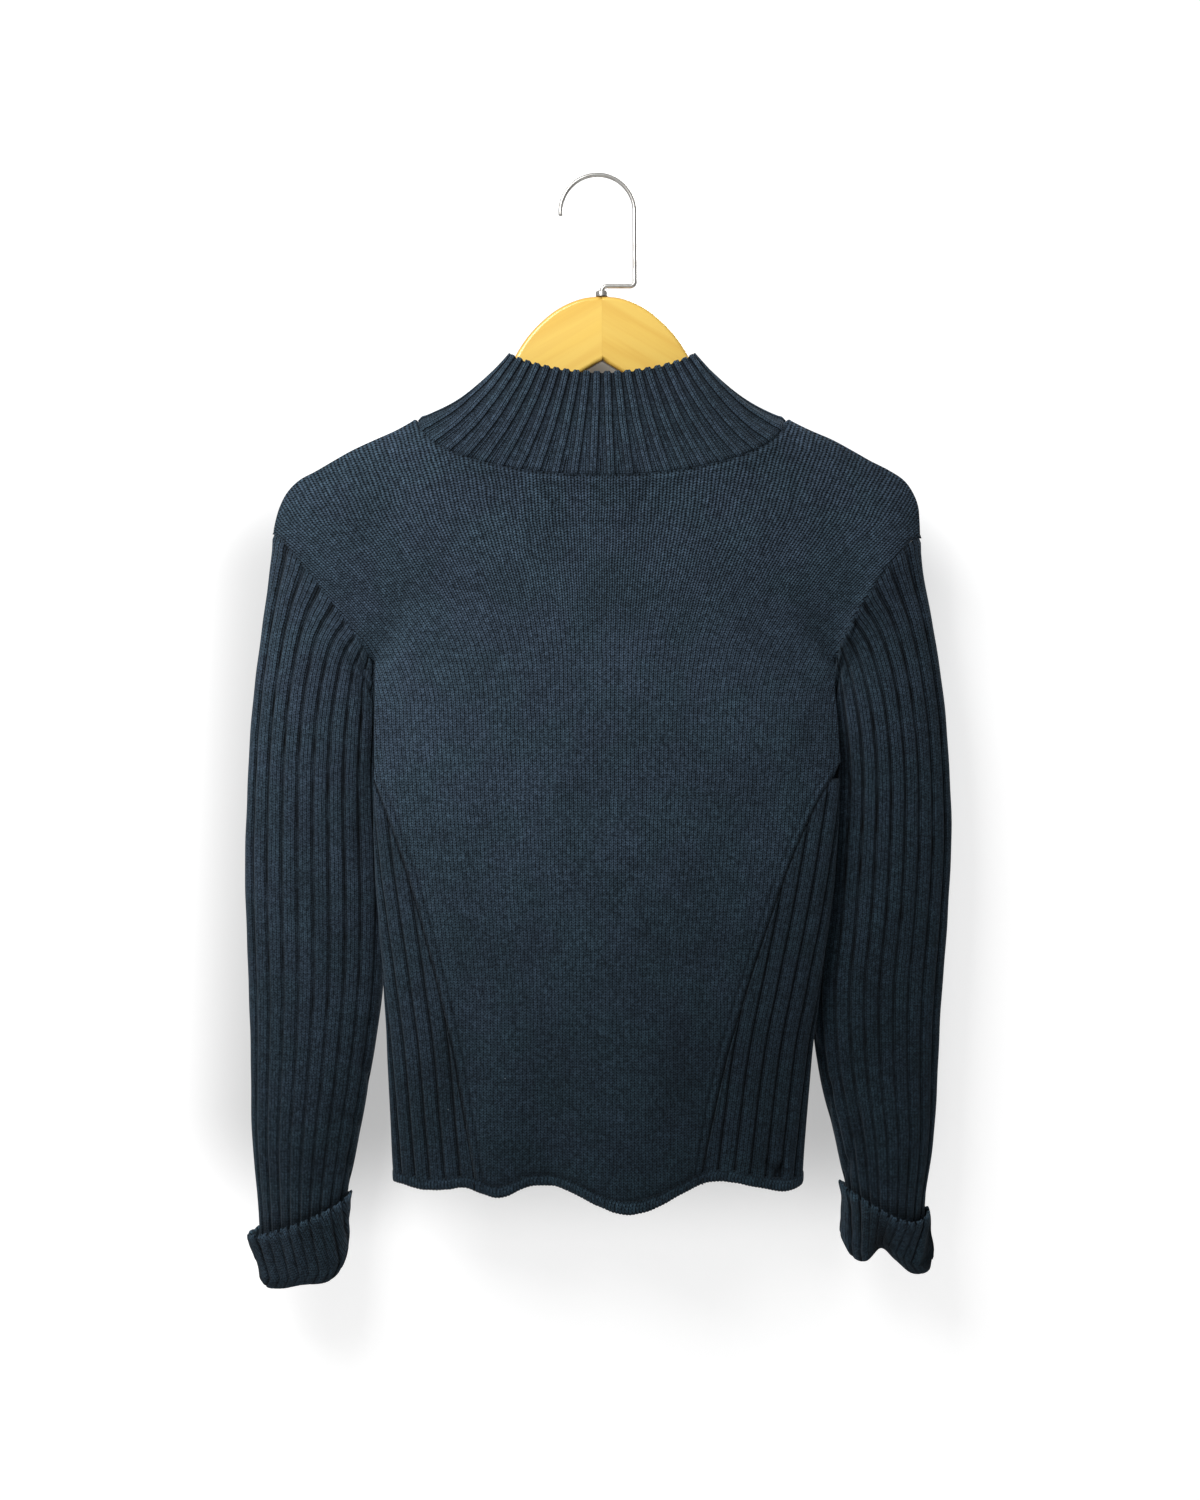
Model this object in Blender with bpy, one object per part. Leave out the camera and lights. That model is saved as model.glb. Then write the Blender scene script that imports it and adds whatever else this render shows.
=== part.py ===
"""A knit jacket on a wooden hanger, built as cloth walls worked out from its sizes.

Tables and constants are in millimetres. The origin is the inside top of the hanger's wire hook,
+X is the wearer's left, +Y the back of the jacket and +Z up. "down" is the depth below the origin.
"side" is +1 on the wearer's left and -1 on the right; "face" is +1 on the back and -1 on the front.
"""

import math

import bmesh
import bpy
import numpy as np

MM = 0.001
LEFT, RIGHT = 1, -1
BACK, FRONT = 1, -1
QUARTER = math.pi / 2
STEP = 1e-4  # for slopes taken by differences

# Cloth
SEAM_GAP = 0.3
PLAIN_WALL = 2.0
RIBBED_WALL = 3.0
SLEEVE_RIB = 1.2  # how far a rib stands above its groove
SIDE_RIB = 1.1
COLLAR_RIB = 1.4
BAND_RAISE = 0.7
BAND_WALL = 3.2

# Body below the underarm: half-widths, half-depths and the middle's place toward the back
BODY_COLUMNS = ("down", "left", "right", "back", "front", "middle")
BODY_ROWS = (
    (366, 171.5, 176.5, 24.0, 24.0, 0.0),
    (384, 170.5, 175.5, 24.0, 24.0, 1.0),
    (410, 171.0, 177.5, 24.5, 24.5, 3.0),
    (440, 170.5, 178.0, 25.0, 25.0, 5.0),
    (495, 170.0, 175.5, 25.5, 25.5, 6.0),
    (560, 166.5, 169.5, 26.0, 26.0, 6.0),
    (600, 163.5, 164.0, 27.0, 27.0, 6.0),
    (650, 160.0, 157.0, 28.0, 28.0, 6.0),
    (700, 158.0, 153.0, 29.0, 29.0, 6.0),
    (750, 155.5, 149.5, 30.0, 30.0, 6.0),
)
UNDERARM = 366.0
HEM = 750.0
BAND_HEIGHT = 8.5

# Diagonal seam of the side panels: its distance round the cloth from the body's side edge
SEAM_COLUMNS = ("down", "left", "right")
SEAM_ROWS = (
    (438, 0.0, 0.0),
    (451, 0.0, 10.0),
    (462, 6.5, 17.5),
    (474, 12.3, 23.5),
    (488, 17.8, 29.8),
    (504, 23.3, 36.0),
    (522, 28.8, 41.8),
    (542, 34.0, 47.4),
    (564, 39.0, 52.7),
    (590, 44.4, 58.2),
    (618, 49.6, 63.5),
    (648, 54.7, 68.7),
    (680, 59.8, 73.9),
    (712, 64.6, 78.7),
    (750, 70.0, 84.0),
)
SIDE_RIBS = {LEFT: 6, RIGHT: 7}  # from the side edge to the seam at the hem

# Soft folds of the body: where they lie, how far they drop the hem and push the cloth out
FOLD_COLUMNS = ("face", "x", "half_width", "start", "drop", "bulge")
FOLD_ROWS = (
    (BACK, 77, 28, 600, 8, 6),
    (BACK, -20, 62, 560, 18, 12),
    (BACK, 38, 24, 640, 0, -4),
    (BACK, -85, 28, 620, -2, -7),
    (BACK, -142, 20, 650, 2, 3),
    (FRONT, 66, 40, 590, 4, 8),
    (FRONT, -74, 44, 580, 5, 9),
    (FRONT, -30, 26, 640, 0, -4),
    (FRONT, 28, 24, 650, 1, -3),
    (BACK, 136, 34, 640, 5, 0),
    (BACK, -131, 34, 640, 5, 0),
    (FRONT, 136, 34, 640, 5, 0),
    (FRONT, -131, 34, 640, 5, 0),
)

# Neck seam and collar
NECK_HALF_WIDTH = 138.0
NECK_SIDE_DOWN = 181.5
NECK_DROP = {BACK: 46.5, FRONT: 84.5}
NECK_DEPTH = {BACK: 28.0, FRONT: 36.0}
COLLAR_TOP_HALF_WIDTH = 70.0
COLLAR_TOP_SIDE_DOWN = 134.0
COLLAR_TOP_DROP = {BACK: 18.0, FRONT: 34.0}
COLLAR_TOP_DEPTH = {BACK: 31.0, FRONT: 36.0}
COLLAR_SAG = 6.5
COLLAR_MIDDLE = 0.4  # the height at which its ribs are equally far apart
COLLAR_RIBS = 50
NECK_ROUNDING = 0.5  # power that rounds the neck's ring off at its sides
NECK_SHARE = 0.5  # of a yoke half's columns, from the centre, that end at the neck seam

# Shoulder line from the neck seam out to the armhole
SHOULDER = {
    LEFT: (
        (138, 181.5), (154, 190), (170, 197), (187.5, 205), (200, 212), (214, 220),
        (227, 227), (236, 236), (241.5, 246), (245, 257), (247, 268),
    ),
    RIGHT: (
        (138, 181.5), (156, 190), (172.5, 197), (187.5, 205), (200, 212), (216, 220),
        (226.5, 227), (233, 235.5), (237.5, 246), (239, 258), (239.5, 271),
    ),
}
FOLD_SHARPNESS = 8  # how soon the yoke reaches its full depth below the shoulder line
NECK_SPREAD = 14.0  # how far the yoke's cloth runs outward as it leaves the sides of the neck
NECK_FALL = 0.75  # its drop for each millimetre outward

# Sleeves: outer and inner edges of rings set across the sleeve, from armhole to wrist
SLEEVE_COLUMNS = ("run", "outer_x", "outer_down", "inner_x", "inner_down", "middle", "depth", "bow")
SLEEVE_ROWS = {
    LEFT: (
        (0, 247.0, 268, 171.5, 366, 0, 20.0, 5.0),
        (12, 249.1, 284, 173.9, 374, -4, 20.0, 4.5),
        (30, 252.4, 306, 174.0, 386, -9, 20.0, 4.0),
        (55, 256.9, 338, 170.8, 404, -12, 20.0, 3.0),
        (90, 262.3, 378, 168.0, 430, -14, 20.0, 1.5),
        (135, 266.5, 424, 166.0, 464, -15, 19.5, 0.0),
        (190, 269.7, 486, 164.1, 510, -16, 19.0, 0.0),
        (250, 269.7, 550, 163.1, 560, -16, 18.5, 0.0),
        (310, 267.0, 610, 166.0, 612, -15, 18.0, 0.0),
        (370, 265.8, 670, 174.0, 670, -14, 17.5, 0.0),
        (430, 264.1, 730, 185.5, 730, -13, 17.0, 0.0),
        (470, 259.9, 770, 192.9, 770, -12, 15.0, 0.0),
        (540, 256.9, 840, 195.5, 840, -12, 13.0, 0.0),
    ),
    RIGHT: (
        (0, 239.5, 271, 176.5, 366, 0, 20.0, 11.0),
        (12, 241.1, 286, 179.2, 374, -4, 20.0, 10.0),
        (30, 244.4, 305, 179.2, 386, -9, 20.0, 8.5),
        (55, 249.9, 333, 176.1, 404, -12, 20.0, 6.0),
        (90, 256.2, 372, 173.5, 430, -14, 20.0, 3.0),
        (135, 261.4, 422, 171.1, 464, -15, 19.5, 0.0),
        (190, 264.6, 482, 167.7, 510, -16, 19.0, 0.0),
        (250, 262.6, 546, 163.6, 560, -16, 18.5, 0.0),
        (310, 257.4, 610, 158.5, 612, -15, 18.0, 0.0),
        (370, 254.2, 670, 163.4, 670, -14, 17.5, 0.0),
        (430, 250.0, 730, 177.9, 730, -13, 17.0, 0.0),
        (470, 243.8, 770, 185.4, 770, -12, 15.0, 0.0),
        (540, 239.8, 840, 187.4, 840, -12, 13.0, 0.0),
    ),
}
SLEEVE_RIBS = 20
LEVEL_RUN, LEVEL_DOWN = 370.0, 670.0  # from here on a ring is level and "run" follows "down"
ARMHOLE_FLATNESS = 0.33  # of the armhole's ring: its depth over its length
ARMHOLE_TIP_NORMAL = (0.95, 0.0, 0.31)
CROTCH_NORMAL = {"body": (0.6, 0.0, -0.8), "sleeve": (-0.6, 0.0, -0.8)}

# Turned-up cuffs, by the angle round the sleeve (0 outer edge, 90 back, 180 inner edge)
CUFF_COLUMNS = ("angle", "rim_down", "fold_down", "flare", "push")
CUFF_ROWS = {
    LEFT: (
        (0, 796, 818, 5.5, 0.0),
        (30, 795, 832, 3.5, 0.0),
        (60, 791, 834, 1.5, 0.0),
        (90, 785, 831, 1.0, 0.0),
        (135, 774, 828, 0.5, 0.0),
        (165, 767, 818, 0.0, 0.0),
        (180, 765, 810, 0.0, 0.0),
        (225, 772, 826, 0.5, 0.0),
        (270, 781, 832, 1.0, 0.0),
        (315, 789, 834, 2.0, 0.0),
    ),
    RIGHT: (
        (0, 778, 813, 1.5, 1.0),
        (25, 783, 823, 1.0, 1.0),
        (50, 785, 819, 1.0, 0.5),
        (78, 781, 809, 0.5, -1.0),
        (100, 775, 801, 0.0, -5.0),
        (125, 768, 813, 0.5, 0.5),
        (155, 761, 810, 0.5, 2.5),
        (180, 757, 797, 0.5, 4.0),
        (225, 764, 812, 1.0, 1.0),
        (270, 772, 818, 1.0, 0.0),
        (315, 777, 820, 1.0, 0.0),
    ),
}

# Hanger
BOARD_THICKNESS = 10.0
BOARD_TOP = (
    (0, 90), (13, 91.2), (25, 95.2), (35, 100.7), (44, 107.9), (54.5, 118.8), (63.5, 132),
    (71, 147), (81, 160), (97, 174), (116, 187), (136, 199), (156, 208), (176, 216), (194, 224),
    (206, 230),
)
BOARD_END = ((213, 235), (216, 241.5), (213, 247.5), (206, 249.5))
BOARD_UNDERSIDE = ((184, 241), (158, 230.5), (132, 217.5), (106, 202.5), (80, 187), (50, 168.5))
BOARD_NOTCH = (0, 138.3)
BOARD_BEVEL = 2.2
HOOK_WIRE = 3.2
HOOK_RADIUS = 27.8  # of the wire's centre line
HOOK_CENTRE_X = 3.3
HOOK_STEM_X = -24.6
HOOK_FOOT_DOWN = 82.0
HOOK_BEND = 3.6
FERRULE_RADIUS, FERRULE_HEIGHT, FERRULE_BORE = 4.6, 4.0, 2.0

NAVY = (0.028, 0.043, 0.062)
WOOD = (0.86, 0.60, 0.24)
STEEL = (0.62, 0.62, 0.62)


# ---- curves and tables ----


def columns_of(names, rows):
    """A table as one array for each of its named columns."""
    return dict(zip(names, np.array(rows, float).T))


def follow(at, stops, values):
    """A smooth curve through the table's values, read at these places."""
    at = np.asarray(at, float)
    slopes = np.gradient(values, stops)
    i = np.clip(np.searchsorted(stops, at, side="right") - 1, 0, len(stops) - 2)
    span = stops[i + 1] - stops[i]
    t = np.clip((at - stops[i]) / span, 0, 1)
    return (
        values[i] * (1 - t) ** 2 * (1 + 2 * t)
        + values[i + 1] * t**2 * (3 - 2 * t)
        + span * slopes[i] * t * (1 - t) ** 2
        - span * slopes[i + 1] * t**2 * (1 - t)
    )


def along(share, points):
    """The x and down of a line of points, at a share of its length."""
    points = np.array(points, float)
    run = np.concatenate(([0], np.cumsum(np.linalg.norm(np.diff(points, axis=0), axis=1))))
    at = np.clip(share, 0, 1) * run[-1]
    return follow(at, run, points[:, 0]), follow(at, run, points[:, 1])


def unit(vectors):
    return vectors / np.linalg.norm(vectors, axis=-1, keepdims=True)


def normals_of(surface, a, b, outward):
    """Unit normals of surface(a, b), turned to the side that outward points to."""
    across = surface(a + STEP, b) - surface(a - STEP, b)
    down = surface(a, b + STEP) - surface(a, b - STEP)
    normal = unit(np.cross(across, down))
    return normal * np.sign(np.sum(normal * outward, axis=-1, keepdims=True))


def smooth_step(t):
    return t * t * (3 - 2 * t)


def read_line(at, stops, points):
    """Places on the straight runs between these points."""
    return np.stack([np.interp(at, stops, points[:, k]) for k in range(3)], axis=-1)


BODY = columns_of(BODY_COLUMNS, BODY_ROWS)
SEAM = columns_of(SEAM_COLUMNS, SEAM_ROWS)
SLEEVE = {side: columns_of(SLEEVE_COLUMNS, rows) for side, rows in SLEEVE_ROWS.items()}
SIDE_NAME = {LEFT: "left", RIGHT: "right"}
FACE_NAME = {BACK: "back", FRONT: "front"}


# ---- body ----


def body(column, down):
    return follow(np.maximum(down, UNDERARM), BODY["down"], BODY[column])


def folds(x, down, face):
    """How far the folds let the cloth drop and push it out, at this place."""
    drop = np.zeros_like(x)
    bulge = np.zeros_like(x)
    for row in FOLD_ROWS:
        fold = dict(zip(FOLD_COLUMNS, row))
        if fold["face"] == face:
            across = np.clip((x - fold["x"]) / fold["half_width"], -1, 1)
            grown = np.clip((down - fold["start"]) / (HEM - fold["start"]), 0, 1.1)
            share = np.cos(across * QUARTER) ** 2 * grown**1.5
            drop = drop + fold["drop"] * share
            bulge = bulge + fold["bulge"] * share
    return drop, bulge


def body_point(angle, down, side, face):
    """A point of the body's outside: angle 0 at its side edge, a quarter turn at its centre line."""
    x = side * body(SIDE_NAME[side], down) * np.cos(angle)
    rise = np.sin(angle)
    drop, bulge = folds(x, down, face)
    y = body("middle", down) + face * (body(FACE_NAME[face], down) + bulge) * rise
    return np.stack([x, y, -(down + drop)], axis=-1)


def angle_at(arc, down, side, face):
    """The angle on the body's section at this distance round the cloth from the side edge."""
    arc, down = np.broadcast_arrays(np.asarray(arc, float), np.asarray(down, float))
    turn = np.linspace(0, QUARTER, 181)
    found = np.empty(arc.shape)
    for i in np.ndindex(arc.shape):
        wide, deep = body(SIDE_NAME[side], down[i]), body(FACE_NAME[face], down[i])
        steps = np.hypot(wide * np.diff(np.cos(turn)), deep * np.diff(np.sin(turn)))
        found[i] = np.interp(arc[i], np.concatenate(([0], np.cumsum(steps))), turn)
    return found


def seam_arc(down, side):
    return np.interp(down, SEAM["down"], SEAM[SIDE_NAME[side]])


# ---- yoke: from the neck seam and shoulder line to the underarm ----


def neck_angle(t):
    """0 at the side of the neck, a quarter turn at its centre line."""
    return QUARTER * (1 - np.clip(t / NECK_SHARE, 0, 1))


def yoke_top(t, side, face):
    turn = neck_angle(t)
    on_neck = t <= NECK_SHARE
    x, down = along((t - NECK_SHARE) / (1 - NECK_SHARE), SHOULDER[side])
    x = np.where(on_neck, NECK_HALF_WIDTH * np.cos(turn), x)
    down = np.where(on_neck, NECK_SIDE_DOWN + NECK_DROP[face] * np.sin(turn), down)
    depth = np.where(on_neck, NECK_DEPTH[face] * np.sin(turn) ** NECK_ROUNDING, 0.0)
    return x, down, depth


def yoke_point(t, q, side, face):
    """A point of the yoke: t from the centre line to the armhole, q from the top to the underarm.

    Below 0, q runs on over the shoulder line to the other face.
    """
    v = smooth_step(np.clip(np.abs(q), 0, 1))
    over = np.where(q < 0, -1.0, 1.0)
    top_x, top_down, top_depth = yoke_top(t, side, face)
    end_x, end_down, _ = yoke_top(np.ones_like(t), side, face)
    mid_down = NECK_SIDE_DOWN + NECK_DROP[face]
    hole = sleeve_point(np.pi * v, np.zeros_like(v), side)
    wide = body(SIDE_NAME[side], np.full_like(t, UNDERARM))
    low_x = wide * np.sin(t * QUARTER)
    x = (1 - v) * top_x + v * low_x + t * (side * hole[..., 0] - (1 - v) * end_x - v * wide)
    centre_down = (1 - v) * mid_down + v * UNDERARM
    down = (
        (1 - v) * top_down + v * UNDERARM + (1 - t) * centre_down - t * hole[..., 2]
        - (1 - v) * ((1 - t) * mid_down + t * end_down) - v * UNDERARM
    )
    settled = 1 - (1 - v) ** FOLD_SHARPNESS
    spread = NECK_SPREAD * settled * (1 - v) * np.sin(np.pi * np.clip(t, 0, 1)) ** 2
    x = x + spread
    down = down + NECK_FALL * spread
    low_depth = body(FACE_NAME[face], np.full_like(t, UNDERARM)) * np.cos(t * QUARTER)
    squared = (1 - settled) * top_depth**2 + settled * low_depth**2 + t**3 * hole[..., 1] ** 2
    y = np.maximum(np.sqrt(squared), SEAM_GAP / 2) * over
    return np.stack([side * x, face * y, -down], axis=-1)


# ---- sleeves ----


def sleeve_point(turn, run, side):
    """A point of a sleeve: turn 0 at its outer edge, a quarter turn at the back, run from the armhole."""
    table = SLEEVE[side]
    ring = {name: follow(run, table["run"], table[name]) for name in SLEEVE_COLUMNS[1:]}
    half_x = (ring["outer_x"] - ring["inner_x"]) / 2
    half_down = (ring["outer_down"] - ring["inner_down"]) / 2
    length = np.hypot(half_x, half_down)
    bow = ring["bow"] * np.abs(np.sin(turn))
    x = (ring["outer_x"] + ring["inner_x"]) / 2 + half_x * np.cos(turn) + bow * half_down / length
    down = (
        (ring["outer_down"] + ring["inner_down"]) / 2
        + half_down * np.cos(turn) - bow * half_x / length
    )
    y = ring["middle"] + ring["depth"] * np.sin(turn)
    return np.stack([side * x, y, -down], axis=-1)


def sleeve_middle(turn, run, side):
    """The middle of the ring that a sleeve's point lies on."""
    return (sleeve_point(turn * 0, run, side) + sleeve_point(turn * 0 + np.pi, run, side)) / 2


def armhole_normal(turn, side, piece):
    """The way a piece's cloth faces round its armhole edge."""
    tip = np.array(ARMHOLE_TIP_NORMAL) * (side, 1, 1)
    crotch = np.array(CROTCH_NORMAL[piece]) * (side, 1, 1)
    up = ARMHOLE_FLATNESS * np.maximum(np.cos(turn), 0)[..., None]
    low = ARMHOLE_FLATNESS * np.maximum(-np.cos(turn), 0)[..., None]
    back = np.sin(turn)[..., None] * np.array((0.0, 1.0, 0.0))
    return unit(tip * up + crotch * low + back)


# ---- collar ----


def collar_point(turn, w):
    """A point of the collar: turn 0 on the wearer's left, a quarter at the back, w from seam to top."""
    rise = np.sin(turn)
    behind = rise >= 0

    def by_face(sizes):
        return np.where(behind, sizes[BACK], sizes[FRONT])

    lift = np.abs(rise)
    low_down = NECK_SIDE_DOWN + by_face(NECK_DROP) * lift
    top_down = COLLAR_TOP_SIDE_DOWN + by_face(COLLAR_TOP_DROP) * lift**1.5
    half_width = NECK_HALF_WIDTH + (COLLAR_TOP_HALF_WIDTH - NECK_HALF_WIDTH) * w
    depth = by_face(NECK_DEPTH) + (by_face(COLLAR_TOP_DEPTH) - by_face(NECK_DEPTH)) * w
    sag = COLLAR_SAG * np.sin(np.pi * np.clip(w, 0, 1)) * np.cos(turn) ** 2
    down = low_down + (top_down - low_down) * w + sag
    deep = depth * np.sign(rise) * lift**NECK_ROUNDING
    return np.stack([half_width * np.cos(turn), deep, -down], axis=-1)


def collar_normal(turn, w):
    outward = collar_point(turn, w) * (1, 1, 0)
    normal = normals_of(collar_point, turn, w, outward)
    at_side = np.isclose(np.sin(turn), 0, atol=1e-6)
    normal[at_side, 1] = 0
    return unit(normal)


# ---- solids ----


def material(name, colour, roughness, metallic=0.0):
    made = bpy.data.materials.new(name)
    made.use_nodes = True
    shader = made.node_tree.nodes["Principled BSDF"]
    shader.inputs["Base Color"].default_value = (*colour, 1)
    shader.inputs["Roughness"].default_value = roughness
    shader.inputs["Metallic"].default_value = metallic
    return made


def add_solid(name, points, faces, made_of):
    """One named object from points in millimetres and their faces."""
    mesh = bpy.data.meshes.new(name)
    mesh.from_pydata((np.asarray(points) * MM).tolist(), [], faces)
    shape = bmesh.new()
    shape.from_mesh(mesh)
    bmesh.ops.recalc_face_normals(shape, faces=shape.faces)
    shape.to_mesh(mesh)
    shape.free()
    mesh.shade_smooth()
    mesh.set_sharp_from_angle(angle=math.radians(60))
    mesh.materials.append(made_of)
    made = bpy.data.objects.new(name, mesh)
    bpy.context.scene.collection.objects.link(made)
    return made


def end_strip(outer, inner, kept):
    """Triangles that close a wall's end, between its outer column and its sparser inner one."""
    faces = []
    i = j = 0
    while i < len(outer) - 1 or j < len(inner) - 1:
        past = j < len(inner) - 1 and i >= (kept[j] + kept[j + 1]) / 2
        if i == len(outer) - 1 or past:
            faces.append((outer[i], inner[j + 1], inner[j]))
            j += 1
        else:
            faces.append((outer[i], outer[i + 1], inner[j]))
            i += 1
    return faces


def add_wall(name, outer, inner, kept, closed, made_of):
    """A cloth wall: outer points by row and column, and inner points for the kept rows only."""
    rows, columns = outer.shape[:2]
    loop = np.concatenate([outer, inner[::-1]])
    count = len(loop)
    ids = np.arange(count * columns).reshape(count, columns)
    faces = []
    for i in range(count):
        for j in range(columns if closed else columns - 1):
            k, m = (i + 1) % count, (j + 1) % columns
            faces.append((ids[i, j], ids[i, m], ids[k, m], ids[k, j]))
    if not closed:
        for j in (0, columns - 1):
            faces += end_strip(ids[:rows, j], ids[rows:, j][::-1], kept)
    faces = [tuple(int(v) for v in face) for face in faces]
    return add_solid(name, loop.reshape(-1, 3), faces, made_of)


def rib_columns(ribs, profile):
    """Places round ribs from 0 to the number of ribs, with the height at each, 1 on a rib's top."""
    places = np.concatenate([k + np.array([p for p, _ in profile]) for k in range(ribs)])
    heights = np.tile([h for _, h in profile], ribs)
    return places, heights


WIDE_RIB = ((0.0, 0.0), (0.2, 1.0), (0.8, 1.0))
NARROW_RIB = ((0.0, 0.0), (0.5, 1.0))

# Rows of the body panels: shares of the yoke, then depths below the underarm
YOKE_ROWS = np.array([0, 0.08, 0.17, 0.28, 0.4, 0.52, 0.64, 0.74, 0.82, 0.9])
PANEL_FOOT = HEM - BAND_HEIGHT - SEAM_GAP
LOWER_ROWS = np.array(
    [366, 382, 408, 438, 441, 445, 451, 456, 466, 484, 508, 540, 580, 635, 690, PANEL_FOOT]
)
LOWER_KEPT = (0, 1, 2, 3, 4, 5, 6, 7, 8, 9, 10, 11, 12, 13, 14, 15)
# A panel half's columns: degrees round the neck seam, then shares of the shoulder line
NECK_TURNS = (90, 77, 64, 51, 38, 25, 13, 5, 0)
SHOULDER_PLACES = (0.16, 0.32, 0.48, 0.63, 0.78, 1.0)


def half_columns(face):
    """A panel half's columns, from its centre line to its armhole and side edge."""
    neck = NECK_SHARE * (1 - np.array(NECK_TURNS) / 90)
    places = np.append(neck, NECK_SHARE + (1 - NECK_SHARE) * np.array(SHOULDER_PLACES))
    if face == FRONT:
        places[0] = SEAM_GAP / 2 / NECK_HALF_WIDTH * NECK_SHARE
    return places


def seam_gap(side):
    """Half the diagonal seam's gap, measured level, on each of the lower rows."""
    edge = seam_arc(LOWER_ROWS, side)
    slope = np.gradient(edge, LOWER_ROWS) * (edge > 0)
    return SEAM_GAP * 0.6 * np.hypot(1, slope)


def seam_normal(side, face):
    """The way the cloth faces along the diagonal seam, on each of the lower rows."""
    angle = angle_at(seam_arc(LOWER_ROWS, side), LOWER_ROWS, side, face)
    return body_normal(angle, LOWER_ROWS, side, face)


def lower_angles(side, face, places):
    """Angles of a panel's columns on its rows below the underarm."""
    edge = angle_at(seam_arc(LOWER_ROWS, side) + seam_gap(side), LOWER_ROWS, side, face)
    return QUARTER - (QUARTER - edge[:, None]) * places


def body_normal(angle, down, side, face):
    outward = np.stack([side * np.cos(angle), face * np.sin(angle), angle * 0], axis=-1)
    return normals_of(lambda a, b: body_point(a, b, side, face), angle, down, outward)


def panel_half(side, face):
    """Outer points and normals of half a body panel, from its centre line out."""
    places = half_columns(face)
    t, q = np.meshgrid(places, YOKE_ROWS)
    yoke = yoke_point(t, q, side, face)
    outward = np.broadcast_to((side * 1.0, face * 1.0, 0.2), yoke.shape)
    normal = normals_of(
        lambda a, b: yoke_point(np.minimum(a, 1), b, side, face), np.minimum(t, 1 - STEP), q, outward
    )
    neck = places <= NECK_SHARE
    turn = neck_angle(places[neck])
    turn = turn if side == LEFT else np.pi - turn
    normal[0, neck] = collar_normal(turn * face, turn * 0)
    normal[:, -1] = armhole_normal(np.pi * smooth_step(YOKE_ROWS) * face, side, "body")
    angle = lower_angles(side, face, places)
    down = np.broadcast_to(LOWER_ROWS[:, None], angle.shape)
    lower_normal = body_normal(angle, down, side, face)
    lower_normal[:, -1] = seam_normal(side, face)
    lower_normal[0, -1] = armhole_normal(np.array(np.pi), side, "body")
    lower = body_point(angle, down, side, face)
    return np.concatenate([yoke, lower]), np.concatenate([normal, lower_normal])


def add_panel(name, halves, made_of):
    """A plain wall from one or two panel halves, given as points and normals."""
    points = np.concatenate([h[0] for h in halves], axis=1)
    normal = np.concatenate([h[1] for h in halves], axis=1)
    kept = [*range(len(YOKE_ROWS)), *(len(YOKE_ROWS) + k for k in LOWER_KEPT)]
    inner = points[kept] - PLAIN_WALL * normal[kept]
    return add_wall(name, points, inner, kept, False, made_of)


def add_back(halves, made_of):
    right = tuple(part[:, :0:-1] for part in halves[RIGHT, BACK])
    return add_panel("back", (right, halves[LEFT, BACK]), made_of)


def side_columns(side):
    """Distances round the cloth from the side edge, and the rib height at each, back to front."""
    places, heights = rib_columns(SIDE_RIBS[side], WIDE_RIB)
    arcs = places / SIDE_RIBS[side] * seam_arc(HEM, side)
    apex = seam_arc(LOWER_ROWS, side)
    apex = apex[(apex > 0) & (apex < APEX_ARC)]
    apex = apex[np.abs(apex[:, None] - arcs).min(axis=1) > 2 * SEAM_GAP]
    stops = np.sort(np.concatenate([arcs, apex]))
    heights = np.interp(stops, arcs, heights)
    return np.concatenate([stops[::-1], -stops[1:]]), np.concatenate([heights[::-1], heights[1:]])


def side_seam(side, face):
    """The side panel's edge of the diagonal seam: arcs, points and normals, from its top down."""
    edge = seam_arc(LOWER_ROWS, side)
    first = np.flatnonzero(edge > 0)[0] - 1
    down = LOWER_ROWS[first:]
    arc = np.maximum(edge[first:] - seam_gap(side)[first:], 0)
    down = down + np.where(arc > 0, 0, 2 * SEAM_GAP)
    angle = angle_at(arc, down, side, face)
    return arc, body_point(angle, down, side, face), seam_normal(side, face)[first:]


def beside(points, normals, ahead):
    """An edge moved across its seam's gap, the way that ahead points."""
    across = unit(np.cross(np.gradient(points, axis=0), normals))
    return points + SEAM_GAP * across * np.sign(np.sum(across * ahead, axis=-1, keepdims=True))


APEX_ARC = 12.0  # round this much of the side edge, the side panel has the seam's own corners too
SIDE_SHARES = np.array([0.2, 0.45, 0.72, 1.0])
SIDE_KEPT = (0, 1, 2, 3, 4)


def add_side_panel(side, made_of):
    arcs, heights = side_columns(side)
    outer = np.empty((len(SIDE_SHARES) + 1, len(arcs), 3))
    inner = np.empty((len(SIDE_KEPT), len(arcs), 3))
    for face, part in ((BACK, arcs >= 0), (FRONT, arcs < 0)):
        away = np.abs(arcs[part])
        seam_at, seam_points, seam_normals = side_seam(side, face)
        top = read_line(away, seam_at, seam_points)
        top_down = np.interp(away, seam_at, LOWER_ROWS[-len(seam_at):])
        down = top_down + (PANEL_FOOT - top_down) * SIDE_SHARES[:, None]
        angle = angle_at(np.broadcast_to(away, down.shape), down, side, face)
        point = np.concatenate([top[None], body_point(angle, down, side, face)])
        normal = np.concatenate(
            [read_line(away, seam_at, seam_normals)[None], body_normal(angle, down, side, face)]
        )
        groove = SIDE_RIB * (1 - heights[part])[None, :, None]
        outer[:, part] = point - groove * normal
        inner[:, part] = (point - RIBBED_WALL * normal)[list(SIDE_KEPT)]
    name = f"side_panel_{SIDE_NAME[side]}"
    return add_wall(name, outer, inner, SIDE_KEPT, False, made_of)


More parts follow.
